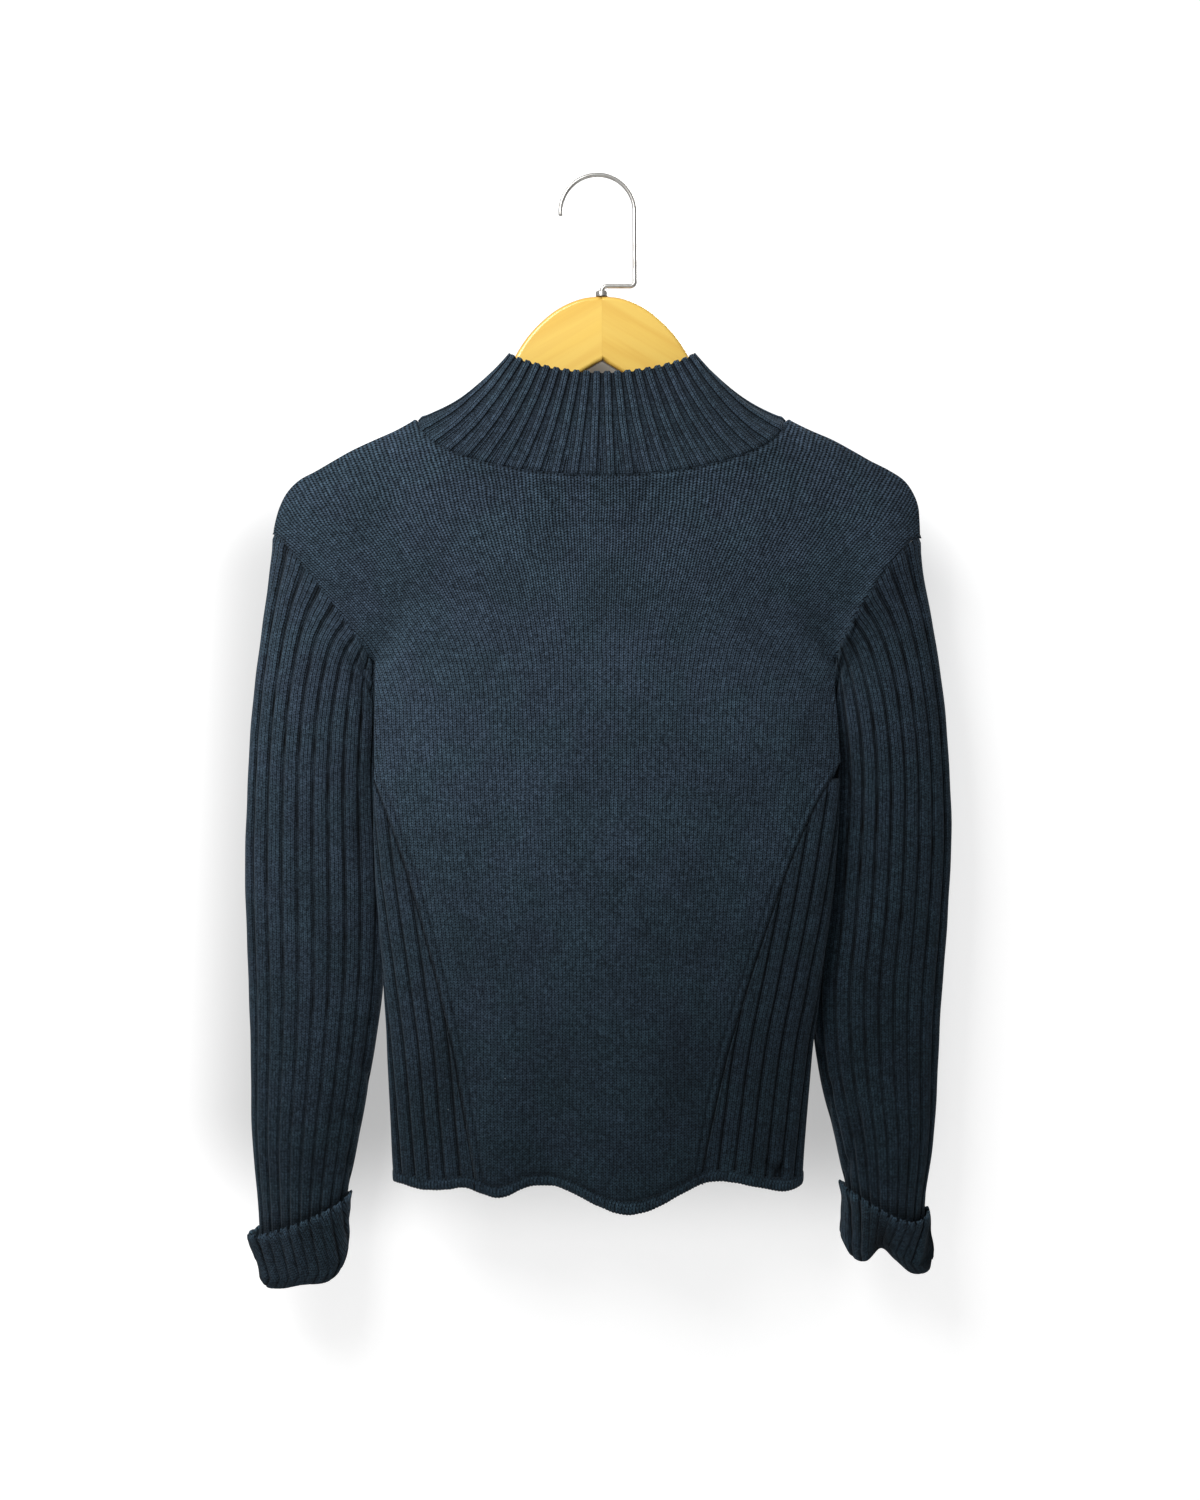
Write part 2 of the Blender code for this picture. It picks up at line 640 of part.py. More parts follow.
def ring_turns(run, side, places):
    """Angles round the sleeve's ring at equal distances along its cloth."""
    turn = np.linspace(0, 2 * np.pi, 361)
    ring = sleeve_point(turn, np.full_like(turn, run), side)
    length = np.concatenate(([0], np.cumsum(np.linalg.norm(np.diff(ring, axis=0), axis=1))))
    return np.interp(places * length[-1], length, turn)


def cuff_size(column, turn, side):
    """A column of the cuff's table, read round the sleeve."""
    table = columns_of(CUFF_COLUMNS, CUFF_ROWS[side])
    stops = np.concatenate([table["angle"] - 360, table["angle"], table["angle"] + 360])
    return follow(np.degrees(turn), stops, np.tile(table[column], 3))


# A sleeve's rows: distances from the armhole outside, and back up inside
OUTSIDE_RUNS = (16, 60, 130, 220, 305, 370, 430)
INSIDE_RUNS = (430, 370, 305, 190, 70, 16)
# The cuff's rows: the place from its rim (0) to its fold (1), the distance out from the sleeve's
# cloth, whether the cloth there is turned up over the sleeve, and whether the ribs show
CUFF_PROFILE = (
    (0.0, 0.0, False, True),
    (0.85, 0.0, False, False),
    (0.85, 1.0, False, False),
    (0.0, 1.0, True, False),
    (0.0, 4.0, True, True),
    (0.85, 3.6, True, True),
    (1.0, 1.0, False, False),
    (0.93, -2.0, False, False),
    (0.6, -3.0, False, False),
)


def armhole_edge(halves, side):
    """The sleeve's edge of the armhole seam: turns, points and normals, once round."""
    turn = np.pi * smooth_step(np.append(YOKE_ROWS, 1.0))
    count = len(turn)
    back, front = halves[side, BACK][0][:count, -1], halves[side, FRONT][0][:count, -1]
    turns = np.concatenate([turn, 2 * np.pi - turn[::-1]])
    turns[count - 1] -= STEP
    turns[count] += STEP
    start = np.zeros_like(turns)
    ahead = sleeve_point(turns, start + OUTSIDE_RUNS[0], side) - sleeve_point(turns, start, side)
    points = np.concatenate([back, front[::-1]])
    normals = armhole_normal(turns, side, "sleeve")
    return turns, beside(points, normals, ahead), normals


def add_sleeve(side, halves, made_of):
    """A sleeve and its turned-up cuff as one folded wall."""
    places, heights = rib_columns(SLEEVE_RIBS, WIDE_RIB)
    places = places / SLEEVE_RIBS
    groove = SLEEVE_RIB * (1 - heights)[:, None]

    def ring(run, depth, ribbed):
        turn = ring_turns(run, side, places)
        runs = np.full_like(turn, run)
        point = sleeve_point(turn, runs, side)
        outward = point - sleeve_middle(turn, runs, side)
        normal = normals_of(lambda a, b: sleeve_point(a, b, side), turn, runs, outward)
        return point - (depth + ribbed * groove) * normal

    def cuff_ring(level, out, turned_up, ribbed):
        turn = ring_turns(LEVEL_RUN, side, places)
        rim, fold = cuff_size("rim_down", turn, side), cuff_size("fold_down", turn, side)
        runs = LEVEL_RUN - LEVEL_DOWN + rim + (fold - rim) * level
        point = sleeve_point(turn, runs, side)
        outward = point - sleeve_middle(turn, runs, side)
        tangent = sleeve_point(turn + STEP, runs, side) - sleeve_point(turn - STEP, runs, side)
        normal = unit(np.cross(tangent, (0, 0, 1)))
        normal = normal * np.sign(np.sum(normal * outward, axis=-1, keepdims=True))
        flare = cuff_size("flare", turn, side) * (1 - level) * turned_up
        reach = out + flare + cuff_size("push", turn, side) * level**2
        return point + (reach[:, None] - ribbed * groove) * normal

    turns, edge, edge_normals = armhole_edge(halves, side)
    turn = ring_turns(0.0, side, places)
    edge = read_line(turn, turns, edge)
    rows = [edge]
    rows += [ring(run, 0.0, True) for run in OUTSIDE_RUNS]
    rows += [cuff_ring(*row) for row in CUFF_PROFILE]
    rows += [ring(run, RIBBED_WALL, False) for run in INSIDE_RUNS]
    rows.append(edge - RIBBED_WALL * read_line(turn, turns, edge_normals))
    points = np.array(rows)
    name = f"sleeve_{SIDE_NAME[side]}"
    return add_wall(name, points[:-1], points[-1:], (0,), True, made_of)


def neck_edge(halves):
    """The collar's edge of the neck seam: turns, points and normals, from front round to front."""
    turns, points = [], []
    for side, face in ((LEFT, FRONT), (LEFT, BACK), (RIGHT, BACK), (RIGHT, FRONT)):
        places = half_columns(face)
        places = places[places <= NECK_SHARE]
        turn = neck_angle(places)
        turn = face * (turn if side == LEFT else np.pi - turn)
        turn = turn + (2 * np.pi if (side, face) == (RIGHT, FRONT) else 0)
        order = np.argsort(turn)
        shrink = 1 - STEP
        middle = turn.mean()
        turns.append(middle + (turn[order] - middle) * shrink)
        points.append(halves[side, face][0][0, : len(places)][order])
    turns, points = np.concatenate(turns), np.concatenate(points)
    rise = np.zeros_like(turns)
    ahead = collar_point(turns, rise + COLLAR_ROWS[0]) - collar_point(turns, rise)
    normals = collar_normal(turns, rise)
    return turns, beside(points, normals, ahead), normals


COLLAR_ROWS = np.array([0.28, 0.62, 1.0])
COLLAR_KEPT = (0, 1, 2, 3)


def add_collar(halves, made_of):
    """The ribbed collar, open at the centre front."""
    places, heights = rib_columns(COLLAR_RIBS, NARROW_RIB)
    places = np.append(places, COLLAR_RIBS) / COLLAR_RIBS
    heights = np.append(heights, 0.0)
    round_ring = np.linspace(-QUARTER, 3 * QUARTER, 721)
    ring = collar_point(round_ring, np.full_like(round_ring, COLLAR_MIDDLE))
    length = np.concatenate(([0], np.cumsum(np.linalg.norm(np.diff(ring, axis=0), axis=1))))
    half_gap = SEAM_GAP / 2 / COLLAR_TOP_HALF_WIDTH
    turn = np.interp(places * length[-1], length, round_ring)
    turn[0] += half_gap
    turn[-1] -= half_gap
    turns, edge, edge_normals = neck_edge(halves)
    grid, rise = np.meshgrid(turn, COLLAR_ROWS)
    point = np.concatenate([read_line(turn, turns, edge)[None], collar_point(grid, rise)])
    normal = np.concatenate(
        [read_line(turn, turns, edge_normals)[None], collar_normal(grid, rise)]
    )
    outer = point - COLLAR_RIB * (1 - heights)[:, None] * normal
    inner = (point - RIBBED_WALL * normal)[list(COLLAR_KEPT)]
    return add_wall("collar", outer, inner, COLLAR_KEPT, False, made_of)


BAND_PROFILE = (
    (HEM - BAND_HEIGHT, 0.0),
    (HEM - BAND_HEIGHT * 0.75, BAND_RAISE),
    (HEM, BAND_RAISE),
    (HEM, BAND_RAISE - BAND_WALL),
    (HEM - BAND_HEIGHT, BAND_RAISE - BAND_WALL),
)


def add_hem_band(made_of):
    """The narrow band along the lower edge, from centre front round to centre front."""
    pieces = []
    for side, face in ((LEFT, FRONT), (LEFT, BACK), (RIGHT, BACK), (RIGHT, FRONT)):
        panel = lower_angles(side, face, half_columns(face))[-1]
        arcs, _ = side_columns(side)
        arcs = np.unique(np.abs(arcs))
        beside = angle_at(arcs, np.full_like(arcs, PANEL_FOOT), side, face)
        angle = np.sort(np.concatenate([panel[:-1], beside]))
        if face == FRONT:
            angle = angle[angle < QUARTER]
        angle = angle if (side == LEFT) == (face == BACK) else angle[::-1]
        rows = []
        for down, out in BAND_PROFILE:
            depth = np.full_like(angle, down)
            rows.append(
                body_point(angle, depth, side, face) + out * body_normal(angle, depth, side, face)
            )
        pieces.append(np.array(rows)[:, 1 if pieces else 0:])
    points = np.concatenate(pieces, axis=1)
    return add_wall("hem_band", points[:3], points[:2:-1], (0, 2), False, made_of)


def add_hanger(made_of):
    """The board: its outline cut through, with a bevel on each edge."""
    half = BOARD_TOP + BOARD_END + BOARD_UNDERSIDE
    outline = [*half, BOARD_NOTCH, *[(-x, down) for x, down in half[:0:-1]]]
    points = [(x, 0, -down) for x, down in outline]
    mesh = bpy.data.meshes.new("hanger")
    mesh.from_pydata([tuple(v * MM for v in p) for p in points], [], [tuple(range(len(points)))])
    shape = bmesh.new()
    shape.from_mesh(mesh)
    bmesh.ops.translate(shape, verts=shape.verts, vec=(0, -BOARD_THICKNESS / 2 * MM, 0))
    grown = bmesh.ops.extrude_face_region(shape, geom=list(shape.faces))
    raised = [v for v in grown["geom"] if isinstance(v, bmesh.types.BMVert)]
    bmesh.ops.translate(shape, verts=raised, vec=(0, BOARD_THICKNESS * MM, 0))
    bmesh.ops.recalc_face_normals(shape, faces=shape.faces)
    shape.to_mesh(mesh)
    shape.free()
    mesh.materials.append(made_of)
    made = bpy.data.objects.new("hanger", mesh)
    bpy.context.scene.collection.objects.link(made)
    bevel = made.modifiers.new("rounded edges", "BEVEL")
    bevel.width = BOARD_BEVEL * MM
    bevel.segments = 2
    bevel.limit_method = "ANGLE"
    bevel.angle_limit = math.radians(60)
    return made


def arc(centre_x, centre_z, radius, first, last, count):
    """Points of an arc in the hanger's plane, between two angles in degrees."""
    turns = np.radians(np.linspace(first, last, count))
    return [(centre_x + radius * math.cos(a), centre_z + radius * math.sin(a)) for a in turns]


def hook_route():
    """The wire's centre line: out of the ferrule, aside, up, and over into the hook."""
    low = -HOOK_FOOT_DOWN - HOOK_BEND
    route = [(0.0, 2 * SEAM_GAP - BOARD_TOP[0][1])]
    route += arc(-HOOK_BEND, low, HOOK_BEND, 0, 90, 4)
    route += arc(HOOK_STEM_X + HOOK_BEND, -HOOK_FOOT_DOWN + HOOK_BEND, HOOK_BEND, 270, 180, 4)
    centre_z = HOOK_WIRE / 2 - HOOK_RADIUS
    route += arc(HOOK_CENTRE_X, centre_z, HOOK_RADIUS, 176, -4, 19)
    return route


def add_hook(made_of):
    """The wire hook, bent from one length of round wire."""
    curve = bpy.data.curves.new("hanger_hook", "CURVE")
    curve.dimensions = "3D"
    curve.bevel_depth = HOOK_WIRE / 2 * MM
    curve.bevel_resolution = 2
    curve.use_fill_caps = True
    route = hook_route()
    spline = curve.splines.new("POLY")
    spline.points.add(len(route) - 1)
    for point, (x, z) in zip(spline.points, route):
        point.co = (x * MM, 0, z * MM, 1)
    curve.materials.append(made_of)
    made = bpy.data.objects.new("hanger_hook", curve)
    bpy.context.scene.collection.objects.link(made)
    return made


def add_ferrule(made_of):
    """The split collar that the wire leaves the board through."""
    low = SEAM_GAP - BOARD_TOP[0][1]
    high = low + FERRULE_HEIGHT
    sides = 20
    rings = (
        (FERRULE_RADIUS, low), (FERRULE_RADIUS, high - 0.8), (FERRULE_RADIUS - 0.8, high),
        (FERRULE_BORE, high), (FERRULE_BORE, low),
    )
    turn = np.linspace(0, 2 * np.pi, sides, endpoint=False)
    points = np.array(
        [np.stack([r * np.cos(turn), r * np.sin(turn), turn * 0 + z], axis=-1) for r, z in rings]
    )
    return add_wall("ferrule", points[:4], points[4:], (0,), True, made_of)


def build():
    for old in list(bpy.data.objects):
        bpy.data.objects.remove(old)
    knit = material("navy_knit", NAVY, 0.95)
    ribbed = material("navy_rib_knit", NAVY, 0.95)
    wood = material("pale_wood", WOOD, 0.4)
    steel = material("steel_wire", STEEL, 0.25, 1.0)
    halves = {(side, face): panel_half(side, face) for side in SIDE_NAME for face in FACE_NAME}
    add_back(halves, knit)
    for side in SIDE_NAME:
        add_panel(f"front_{SIDE_NAME[side]}", (halves[side, FRONT],), knit)
        add_side_panel(side, ribbed)
        add_sleeve(side, halves, ribbed)
    add_collar(halves, ribbed)
    add_hem_band(ribbed)
    add_hanger(wood)
    add_hook(steel)
    add_ferrule(steel)


build()
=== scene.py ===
"""Looks of a ribbed knit jacket on a wooden hanger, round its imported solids.

Tables and constants are in millimetres, and meshes are turned to metres as they are made. The
origin is the inside top of the wire hook, +X the wearer's left, +Y the back of the jacket and +Z up.
"down" is the depth below the origin, "side" is +1 on the wearer's left and -1 on the right, and
"face" is +1 on the back and -1 on the front. Each piece of cloth is a grid of points worked out
from the jacket's sizes, finer than its solid, with ribs, seams and creases in it.
"""

import math

import bmesh
import bpy
import numpy as np
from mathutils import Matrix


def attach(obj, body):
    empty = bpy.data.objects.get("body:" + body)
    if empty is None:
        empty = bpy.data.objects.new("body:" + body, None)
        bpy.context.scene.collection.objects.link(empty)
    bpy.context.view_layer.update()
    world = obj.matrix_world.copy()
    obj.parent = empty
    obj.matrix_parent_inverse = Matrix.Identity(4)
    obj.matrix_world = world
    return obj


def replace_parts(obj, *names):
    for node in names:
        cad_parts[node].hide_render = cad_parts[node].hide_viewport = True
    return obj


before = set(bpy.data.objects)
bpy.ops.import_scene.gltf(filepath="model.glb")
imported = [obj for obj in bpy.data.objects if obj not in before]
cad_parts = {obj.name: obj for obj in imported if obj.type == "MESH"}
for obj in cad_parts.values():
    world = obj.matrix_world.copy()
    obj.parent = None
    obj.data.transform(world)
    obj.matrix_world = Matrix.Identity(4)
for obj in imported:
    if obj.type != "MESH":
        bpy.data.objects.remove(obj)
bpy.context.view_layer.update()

MM = 0.001
LEFT, RIGHT = 1, -1
BACK, FRONT = 1, -1
QUARTER = math.pi / 2
STEP = 1e-4  # for slopes taken by differences

# Cloth
SEAM_GAP = 0.3
PLAIN_WALL = 2.0
RIBBED_WALL = 3.0
SLEEVE_RIB = 1.5
SIDE_RIB = 1.3
COLLAR_RIB = 1.5
BAND_RAISE = 0.8

# Body below the underarm: half-widths, half-depths and the middle's place toward the back
BODY_COLUMNS = ("down", "left", "right", "back", "front", "middle")
BODY_ROWS = (
    (366, 171.5, 176.5, 24, 24, 0),
    (384, 170.5, 175.5, 24, 24, 1),
    (410, 171, 177.5, 24.5, 24.5, 3),
    (440, 170.5, 178, 25, 25, 5),
    (495, 170, 175.5, 25.5, 25.5, 6),
    (560, 166.5, 169.5, 26, 26, 6),
    (600, 163.5, 164, 27, 27, 6),
    (650, 160, 157, 28, 28, 6),
    (700, 158, 153, 29, 29, 6),
    (750, 155.5, 149.5, 30, 30, 6),
)
UNDERARM = 366.0
HEM = 750.0
BAND_HEIGHT = 8.5

# Diagonal seam of the side panels: its distance round the cloth from the body's side edge
SEAM_COLUMNS = ("down", "left", "right")
SEAM_ROWS = (
    (438, 0, 0),
    (451, 0, 10),
    (462, 6.5, 17.5),
    (474, 12.3, 23.5),
    (488, 17.8, 29.8),
    (504, 23.3, 36),
    (522, 28.8, 41.8),
    (542, 34, 47.4),
    (564, 39, 52.7),
    (590, 44.4, 58.2),
    (618, 49.6, 63.5),
    (648, 54.7, 68.7),
    (680, 59.8, 73.9),
    (712, 64.6, 78.7),
    (750, 70, 84),
)
SIDE_RIBS = {LEFT: 6, RIGHT: 7}  # from the side edge to the seam at the hem

# Soft folds of the body: where they lie, how far they drop the hem and push the cloth out
FOLD_COLUMNS = ("face", "x", "half_width", "start", "drop", "bulge")
FOLD_ROWS = (
    (BACK, 77, 28, 600, 8, 6),
    (BACK, -20, 62, 560, 18, 12),
    (BACK, 38, 24, 640, 0, -4),
    (BACK, -85, 28, 620, -2, -7),
    (BACK, -142, 20, 650, 2, 3),
    (FRONT, 66, 40, 590, 4, 8),
    (FRONT, -74, 44, 580, 5, 9),
    (FRONT, -30, 26, 640, 0, -4),
    (FRONT, 28, 24, 650, 1, -3),
    (BACK, 126, 44, 640, 5, 0),
    (BACK, -131, 34, 640, 5, 0),
    (FRONT, 136, 34, 640, 5, 0),
    (FRONT, -131, 34, 640, 5, 0),
)

# Neck seam and collar
NECK_HALF_WIDTH = 138.0
NECK_SIDE_DOWN = 181.5
NECK_DROP = {BACK: 46.5, FRONT: 84.5}
NECK_DEPTH = {BACK: 28.0, FRONT: 36.0}
COLLAR_TOP_HALF_WIDTH = 70.0
COLLAR_TOP_SIDE_DOWN = 134.0
COLLAR_TOP_DROP = {BACK: 18.0, FRONT: 34.0}
COLLAR_TOP_DEPTH = {BACK: 31.0, FRONT: 36.0}
COLLAR_SAG = 6.5
COLLAR_RIBS = 50
NECK_ROUNDING = 0.5  # power that rounds the neck's ring off at its sides
NECK_SHARE = 0.5  # of a yoke half's columns, from the centre, that end at the neck seam

# Shoulder line from the neck seam out to the armhole
SHOULDER = {
    LEFT: (
        (138, 181.5), (154, 190), (170, 197), (187.5, 205), (200, 212), (214, 220),
        (227, 227), (236, 236), (241.5, 246), (245, 257), (247, 268),
    ),
    RIGHT: (
        (138, 181.5), (156, 190), (172.5, 197), (187.5, 205), (200, 212), (216, 220),
        (226.5, 227), (233, 235.5), (237.5, 246), (239, 258), (239.5, 271),
    ),
}
FOLD_SHARPNESS = 8  # how soon the yoke reaches its full depth below the shoulder line
NECK_SPREAD = 14.0  # how far the yoke's cloth runs outward as it leaves the sides of the neck
NECK_FALL = 0.75  # its drop for each millimetre outward

# Sleeves: outer and inner edges of rings set across the sleeve, from armhole to wrist
SLEEVE_COLUMNS = ("run", "outer_x", "outer_down", "inner_x", "inner_down", "middle", "depth", "bow")
SLEEVE_ROWS = {
    LEFT: (
        (0, 247, 268, 171.5, 366, 0, 20, 5),
        (12, 249.1, 284, 170.6, 374, -4, 20, 4.5),
        (30, 252.4, 306, 169.2, 386, -9, 20, 4),
        (55, 256.9, 338, 167, 404, -12, 20, 3),
        (90, 262.3, 378, 166.4, 430, -14, 20, 1.5),
        (135, 266.5, 424, 166, 464, -15, 19.5, 0),
        (190, 269.7, 486, 164.1, 510, -16, 19, 0),
        (250, 269.7, 550, 163.1, 560, -16, 18.5, 0),
        (310, 267, 610, 166, 612, -15, 18, 0),
        (370, 265.8, 670, 174, 670, -14, 17.5, 0),
        (430, 264.1, 730, 185.5, 730, -13, 17, 0),
        (470, 259.9, 770, 192.9, 770, -12, 15, 0),
        (540, 256.9, 840, 195.5, 840, -12, 13, 0),
    ),
    RIGHT: (
        (0, 239.5, 271, 176.5, 366, 0, 20, 11),
        (12, 241.1, 286, 175.4, 374, -4, 20, 10),
        (30, 244.4, 305, 173.6, 386, -9, 20, 8.5),
        (55, 249.9, 333, 171.6, 404, -12, 20, 6),
        (90, 256.2, 372, 171.8, 430, -14, 20, 3),
        (135, 261.4, 422, 171.1, 464, -15, 19.5, 0),
        (190, 264.6, 482, 167.7, 510, -16, 19, 0),
        (250, 262.6, 546, 163.6, 560, -16, 18.5, 0),
        (310, 257.4, 610, 158.5, 612, -15, 18, 0),
        (370, 254.2, 670, 163.4, 670, -14, 17.5, 0),
        (430, 250, 730, 177.9, 730, -13, 17, 0),
        (470, 243.8, 770, 185.4, 770, -12, 15, 0),
        (540, 239.8, 840, 187.4, 840, -12, 13, 0),
    ),
}
SLEEVE_RIBS = 20
LEVEL_RUN, LEVEL_DOWN = 370.0, 670.0  # from here on a ring is level and "run" follows "down"

# Turned-up cuffs, by the angle round the sleeve (0 outer edge, 90 back, 180 inner edge)
CUFF_COLUMNS = ("angle", "rim_down", "fold_down", "flare", "push")
CUFF_ROWS = {
    LEFT: (
        (0, 796, 818, 5.5, 0),
        (30, 795, 832, 3.5, 0),
        (60, 791, 834, 1.5, 0),
        (90, 785, 831, 1, 0),
        (135, 774, 828, 0.5, 0),
        (165, 767, 818, 0, 0),
        (180, 765, 810, 0, 0),
        (225, 772, 826, 0.5, 0),
        (270, 781, 832, 1, 0),
        (315, 789, 834, 2, 0),
    ),
    RIGHT: (
        (0, 778, 815, 1.5, 7),
        (25, 783, 822, 1, 5),
        (50, 785, 822, 1, 1.5),
        (78, 781, 812, 0.5, -0.5),
        (100, 775, 804, 0, -5),
        (125, 768, 813, 0.5, 0.5),
        (155, 761, 810, 0.5, 2.5),
        (180, 757, 797, 0.5, 4),
        (225, 764, 803, 1, 1),
        (255, 769, 800, 1, 0),
        (280, 773, 802, 1, 0),
        (315, 777, 814, 1, 1),
    ),
}

# Hanger
BOARD_THICKNESS = 10.0
BOARD_TOP = (
    (0, 90), (13, 91.2), (25, 95.2), (35, 100.7), (44, 107.9), (54.5, 118.8), (63.5, 132),
    (71, 147), (81, 160), (97, 174), (116, 187), (136, 199), (156, 208), (176, 216), (194, 224),
    (206, 230),
)
BOARD_END = ((213, 235), (216, 241.5), (213, 247.5), (206, 249.5))
BOARD_UNDERSIDE = ((184, 241), (158, 230.5), (132, 217.5), (106, 202.5), (80, 187), (50, 168.5))
BOARD_NOTCH = (0, 138.3)
HOOK_WIRE = 3.2
HOOK_RADIUS = 27.8  # of the wire's centre line
HOOK_CENTRE_X = 3.3
HOOK_STEM_X = -24.6
HOOK_FOOT_DOWN = 82.0
HOOK_BEND = 3.6
FERRULE_RADIUS, FERRULE_HEIGHT, FERRULE_BORE = 4.6, 4.0, 2.0

# Stitches
WALE = 3.04  # from one stitch column to the next at the waist
WALE_LEVELS = (260, 320, 350, 430, 510, 610)  # where its share of WALE is given
WALE_SHARES = (1.18, 1.08, 1.04, 1.0, 0.95, 0.87)
COURSE = 1.95
RIB_WALES = 4  # stitch columns to a rib, its groove included
FAN_FOOT = 400.0  # above this depth the back's stitch columns fan out toward the shoulders
FAN_SLOPE, FAN_POWER, FAN_BEND = 0.77, 1.37, 60.0

# Creases: soft troughs and ridges pressed into the cloth, each along a short line. They lie on a face
# of the body, at an x and a down, or on a sleeve, at degrees round it and a distance from its armhole
CREASE_COLUMNS = ("on", "across", "down", "lean", "half_length", "half_width", "depth")
CREASE_ROWS = (
    # below the neck seam, puckers over stitching inside
    (BACK, 37, 244, -28, 17, 2.2, 2.4),
    (BACK, 43, 246, -28, 14, 2.6, -1.2),
    (BACK, -29, 246, 23, 19, 2.2, 2.2),
    (BACK, -35, 248, 23, 16, 2.6, -1.1),
    (BACK, 30, 262, 60, 7, 2.2, 1.6),
    (BACK, -19, 265, -60, 7, 2.2, 1.6),
    (BACK, 4, 263, 90, 26, 1.8, 1.1),
    # beside the armholes
    (BACK, 158, 330, 24, 34, 9, 1.8),
    (BACK, 144, 352, 34, 34, 10, -1),
    (BACK, -158, 334, -28, 34, 9, 2),
    (BACK, -146, 350, -38, 34, 10, -1.2),
    (BACK, 150, 420, -12, 40, 9, 1),
    (BACK, -152, 430, 14, 44, 9, 1.2),
    # the waist and the lower back
    (BACK, 96, 470, -50, 40, 12, 0.9),
    (BACK, -90, 500, 46, 44, 12, 0.9),
    (BACK, 110, 640, 10, 50, 12, 1),
    (BACK, -60, 660, -8, 46, 12, 1.2),
    (BACK, 30, 600, 6, 60, 14, -0.8),
    (BACK, -131, 741, 35, 8, 2.6, 3.2),
    (BACK, -125, 737, -55, 7, 2.4, 1.8),
    (BACK, -137, 737, -20, 8, 3, -1.2),
    (FRONT, 150, 328, 26, 34, 9, 1.9),
    (FRONT, -151, 332, -30, 34, 9, 1.8),
    (FRONT, 132, 356, 44, 36, 11, -1.1),
    (FRONT, -136, 350, -40, 36, 11, -1),
    (FRONT, 148, 428, -14, 42, 9, 1.1),
    (FRONT, -149, 422, 12, 42, 9, 1.1),
    (FRONT, 82, 492, -44, 42, 12, 1),
    (FRONT, -98, 478, 50, 40, 12, 0.9),
    (FRONT, 46, 640, 8, 52, 12, 1.1),
    (FRONT, -52, 650, -6, 52, 12, 1.1),
)
SLEEVE_CREASE_ROWS = (
    (LEFT, 146, 34, 32, 16, 5, 3),
    (LEFT, 112, 8, 62, 7, 2.2, 2),
    (LEFT, 123, 11, 40, 8, 2.4, -1.8),
    (LEFT, 132, 15, 65, 8, 2.2, 2.4),
    (LEFT, 140, 12, 20, 7, 2.2, -1.8),
    (LEFT, 149, 18, 50, 8, 2.4, 2.2),
    (LEFT, 128, 40, 26, 22, 5, 1.8),
    (LEFT, 138, 150, -8, 60, 6, 1.6),
    (LEFT, 96, 250, 5, 60, 8, 0.9),
    (LEFT, 120, 430, -10, 40, 7, 1.3),
    (LEFT, 60, 470, 8, 44, 7, 1.1),
    (LEFT, 164, 372, 48, 15, 4, 1.8),
    (LEFT, 154, 408, 60, 17, 3.6, 1.7),
    (LEFT, 168, 446, 40, 15, 4, 1.8),
    (LEFT, 160, 330, -40, 16, 4, 1.2),
    (LEFT, 222, 36, -30, 20, 5, 2.4),
    (LEFT, 246, 160, 8, 54, 7, 1.3),
    (LEFT, 262, 420, -8, 52, 8, 1.2),
    (RIGHT, 146, 34, 32, 16, 5, 3),
    (RIGHT, 115, 9, 60, 7, 2.2, 1.9),
    (RIGHT, 126, 12, 38, 8, 2.4, -1.7),
    (RIGHT, 136, 16, 62, 8, 2.2, 2.2),
    (RIGHT, 146, 14, 25, 7, 2.2, -1.6),
    (RIGHT, 126, 44, 24, 24, 5, 1.8),
    (RIGHT, 132, 130, -10, 56, 6, 1.6),
    (RIGHT, 84, 300, 6, 60, 8, 1),
    (RIGHT, 116, 424, -12, 44, 7, 1.5),
    (RIGHT, 66, 460, 8, 44, 7, 1.2),
    (RIGHT, 166, 352, -38, 16, 4, 1.7),
    (RIGHT, 160, 392, 34, 20, 4.4, 2.2),
    (RIGHT, 140, 432, 30, 26, 4.4, 2.6),
    (RIGHT, 168, 448, 52, 14, 4, 1.6),
    (RIGHT, 220, 36, -30, 20, 5, 2.4),
    (RIGHT, 250, 150, 8, 54, 7, 1.3),
    (RIGHT, 256, 410, -8, 52, 8, 1.2),
)


# ---- curves and tables ----


def columns_of(names, rows):
    """A table as one array for each of its named columns."""
    return dict(zip(names, np.array(rows, float).T))


def follow(at, stops, values):
    """A smooth curve through the table's values, read at these places."""
    at = np.asarray(at, float)
    slopes = np.gradient(values, stops)
    i = np.clip(np.searchsorted(stops, at, side="right") - 1, 0, len(stops) - 2)
    span = stops[i + 1] - stops[i]
    t = np.clip((at - stops[i]) / span, 0, 1)
    return (
        values[i] * (1 - t) ** 2 * (1 + 2 * t)
        + values[i + 1] * t**2 * (3 - 2 * t)
        + span * slopes[i] * t * (1 - t) ** 2
        - span * slopes[i + 1] * t**2 * (1 - t)
    )


def gaps_along(points, axis):
    """Distances along rows or columns of points, from the first of them."""
    steps = np.linalg.norm(np.diff(points, axis=axis), axis=-1)
    start = np.zeros_like(np.take(steps, [0], axis=axis))
    return np.concatenate([start, np.cumsum(steps, axis=axis)], axis=axis)


def along(share, points):
    """The x and down of a line of points, at a share of its length."""
    points = np.array(points, float)
    run = gaps_along(points, 0)
    at = np.clip(share, 0, 1) * run[-1]
    return follow(at, run, points[:, 0]), follow(at, run, points[:, 1])


def even_turns(ring_of, turns, shares):
    """Angles round a ring at these shares of its length along the cloth."""
    length = gaps_along(ring_of(turns), 0)
    return np.interp(shares * length[-1], length, turns)


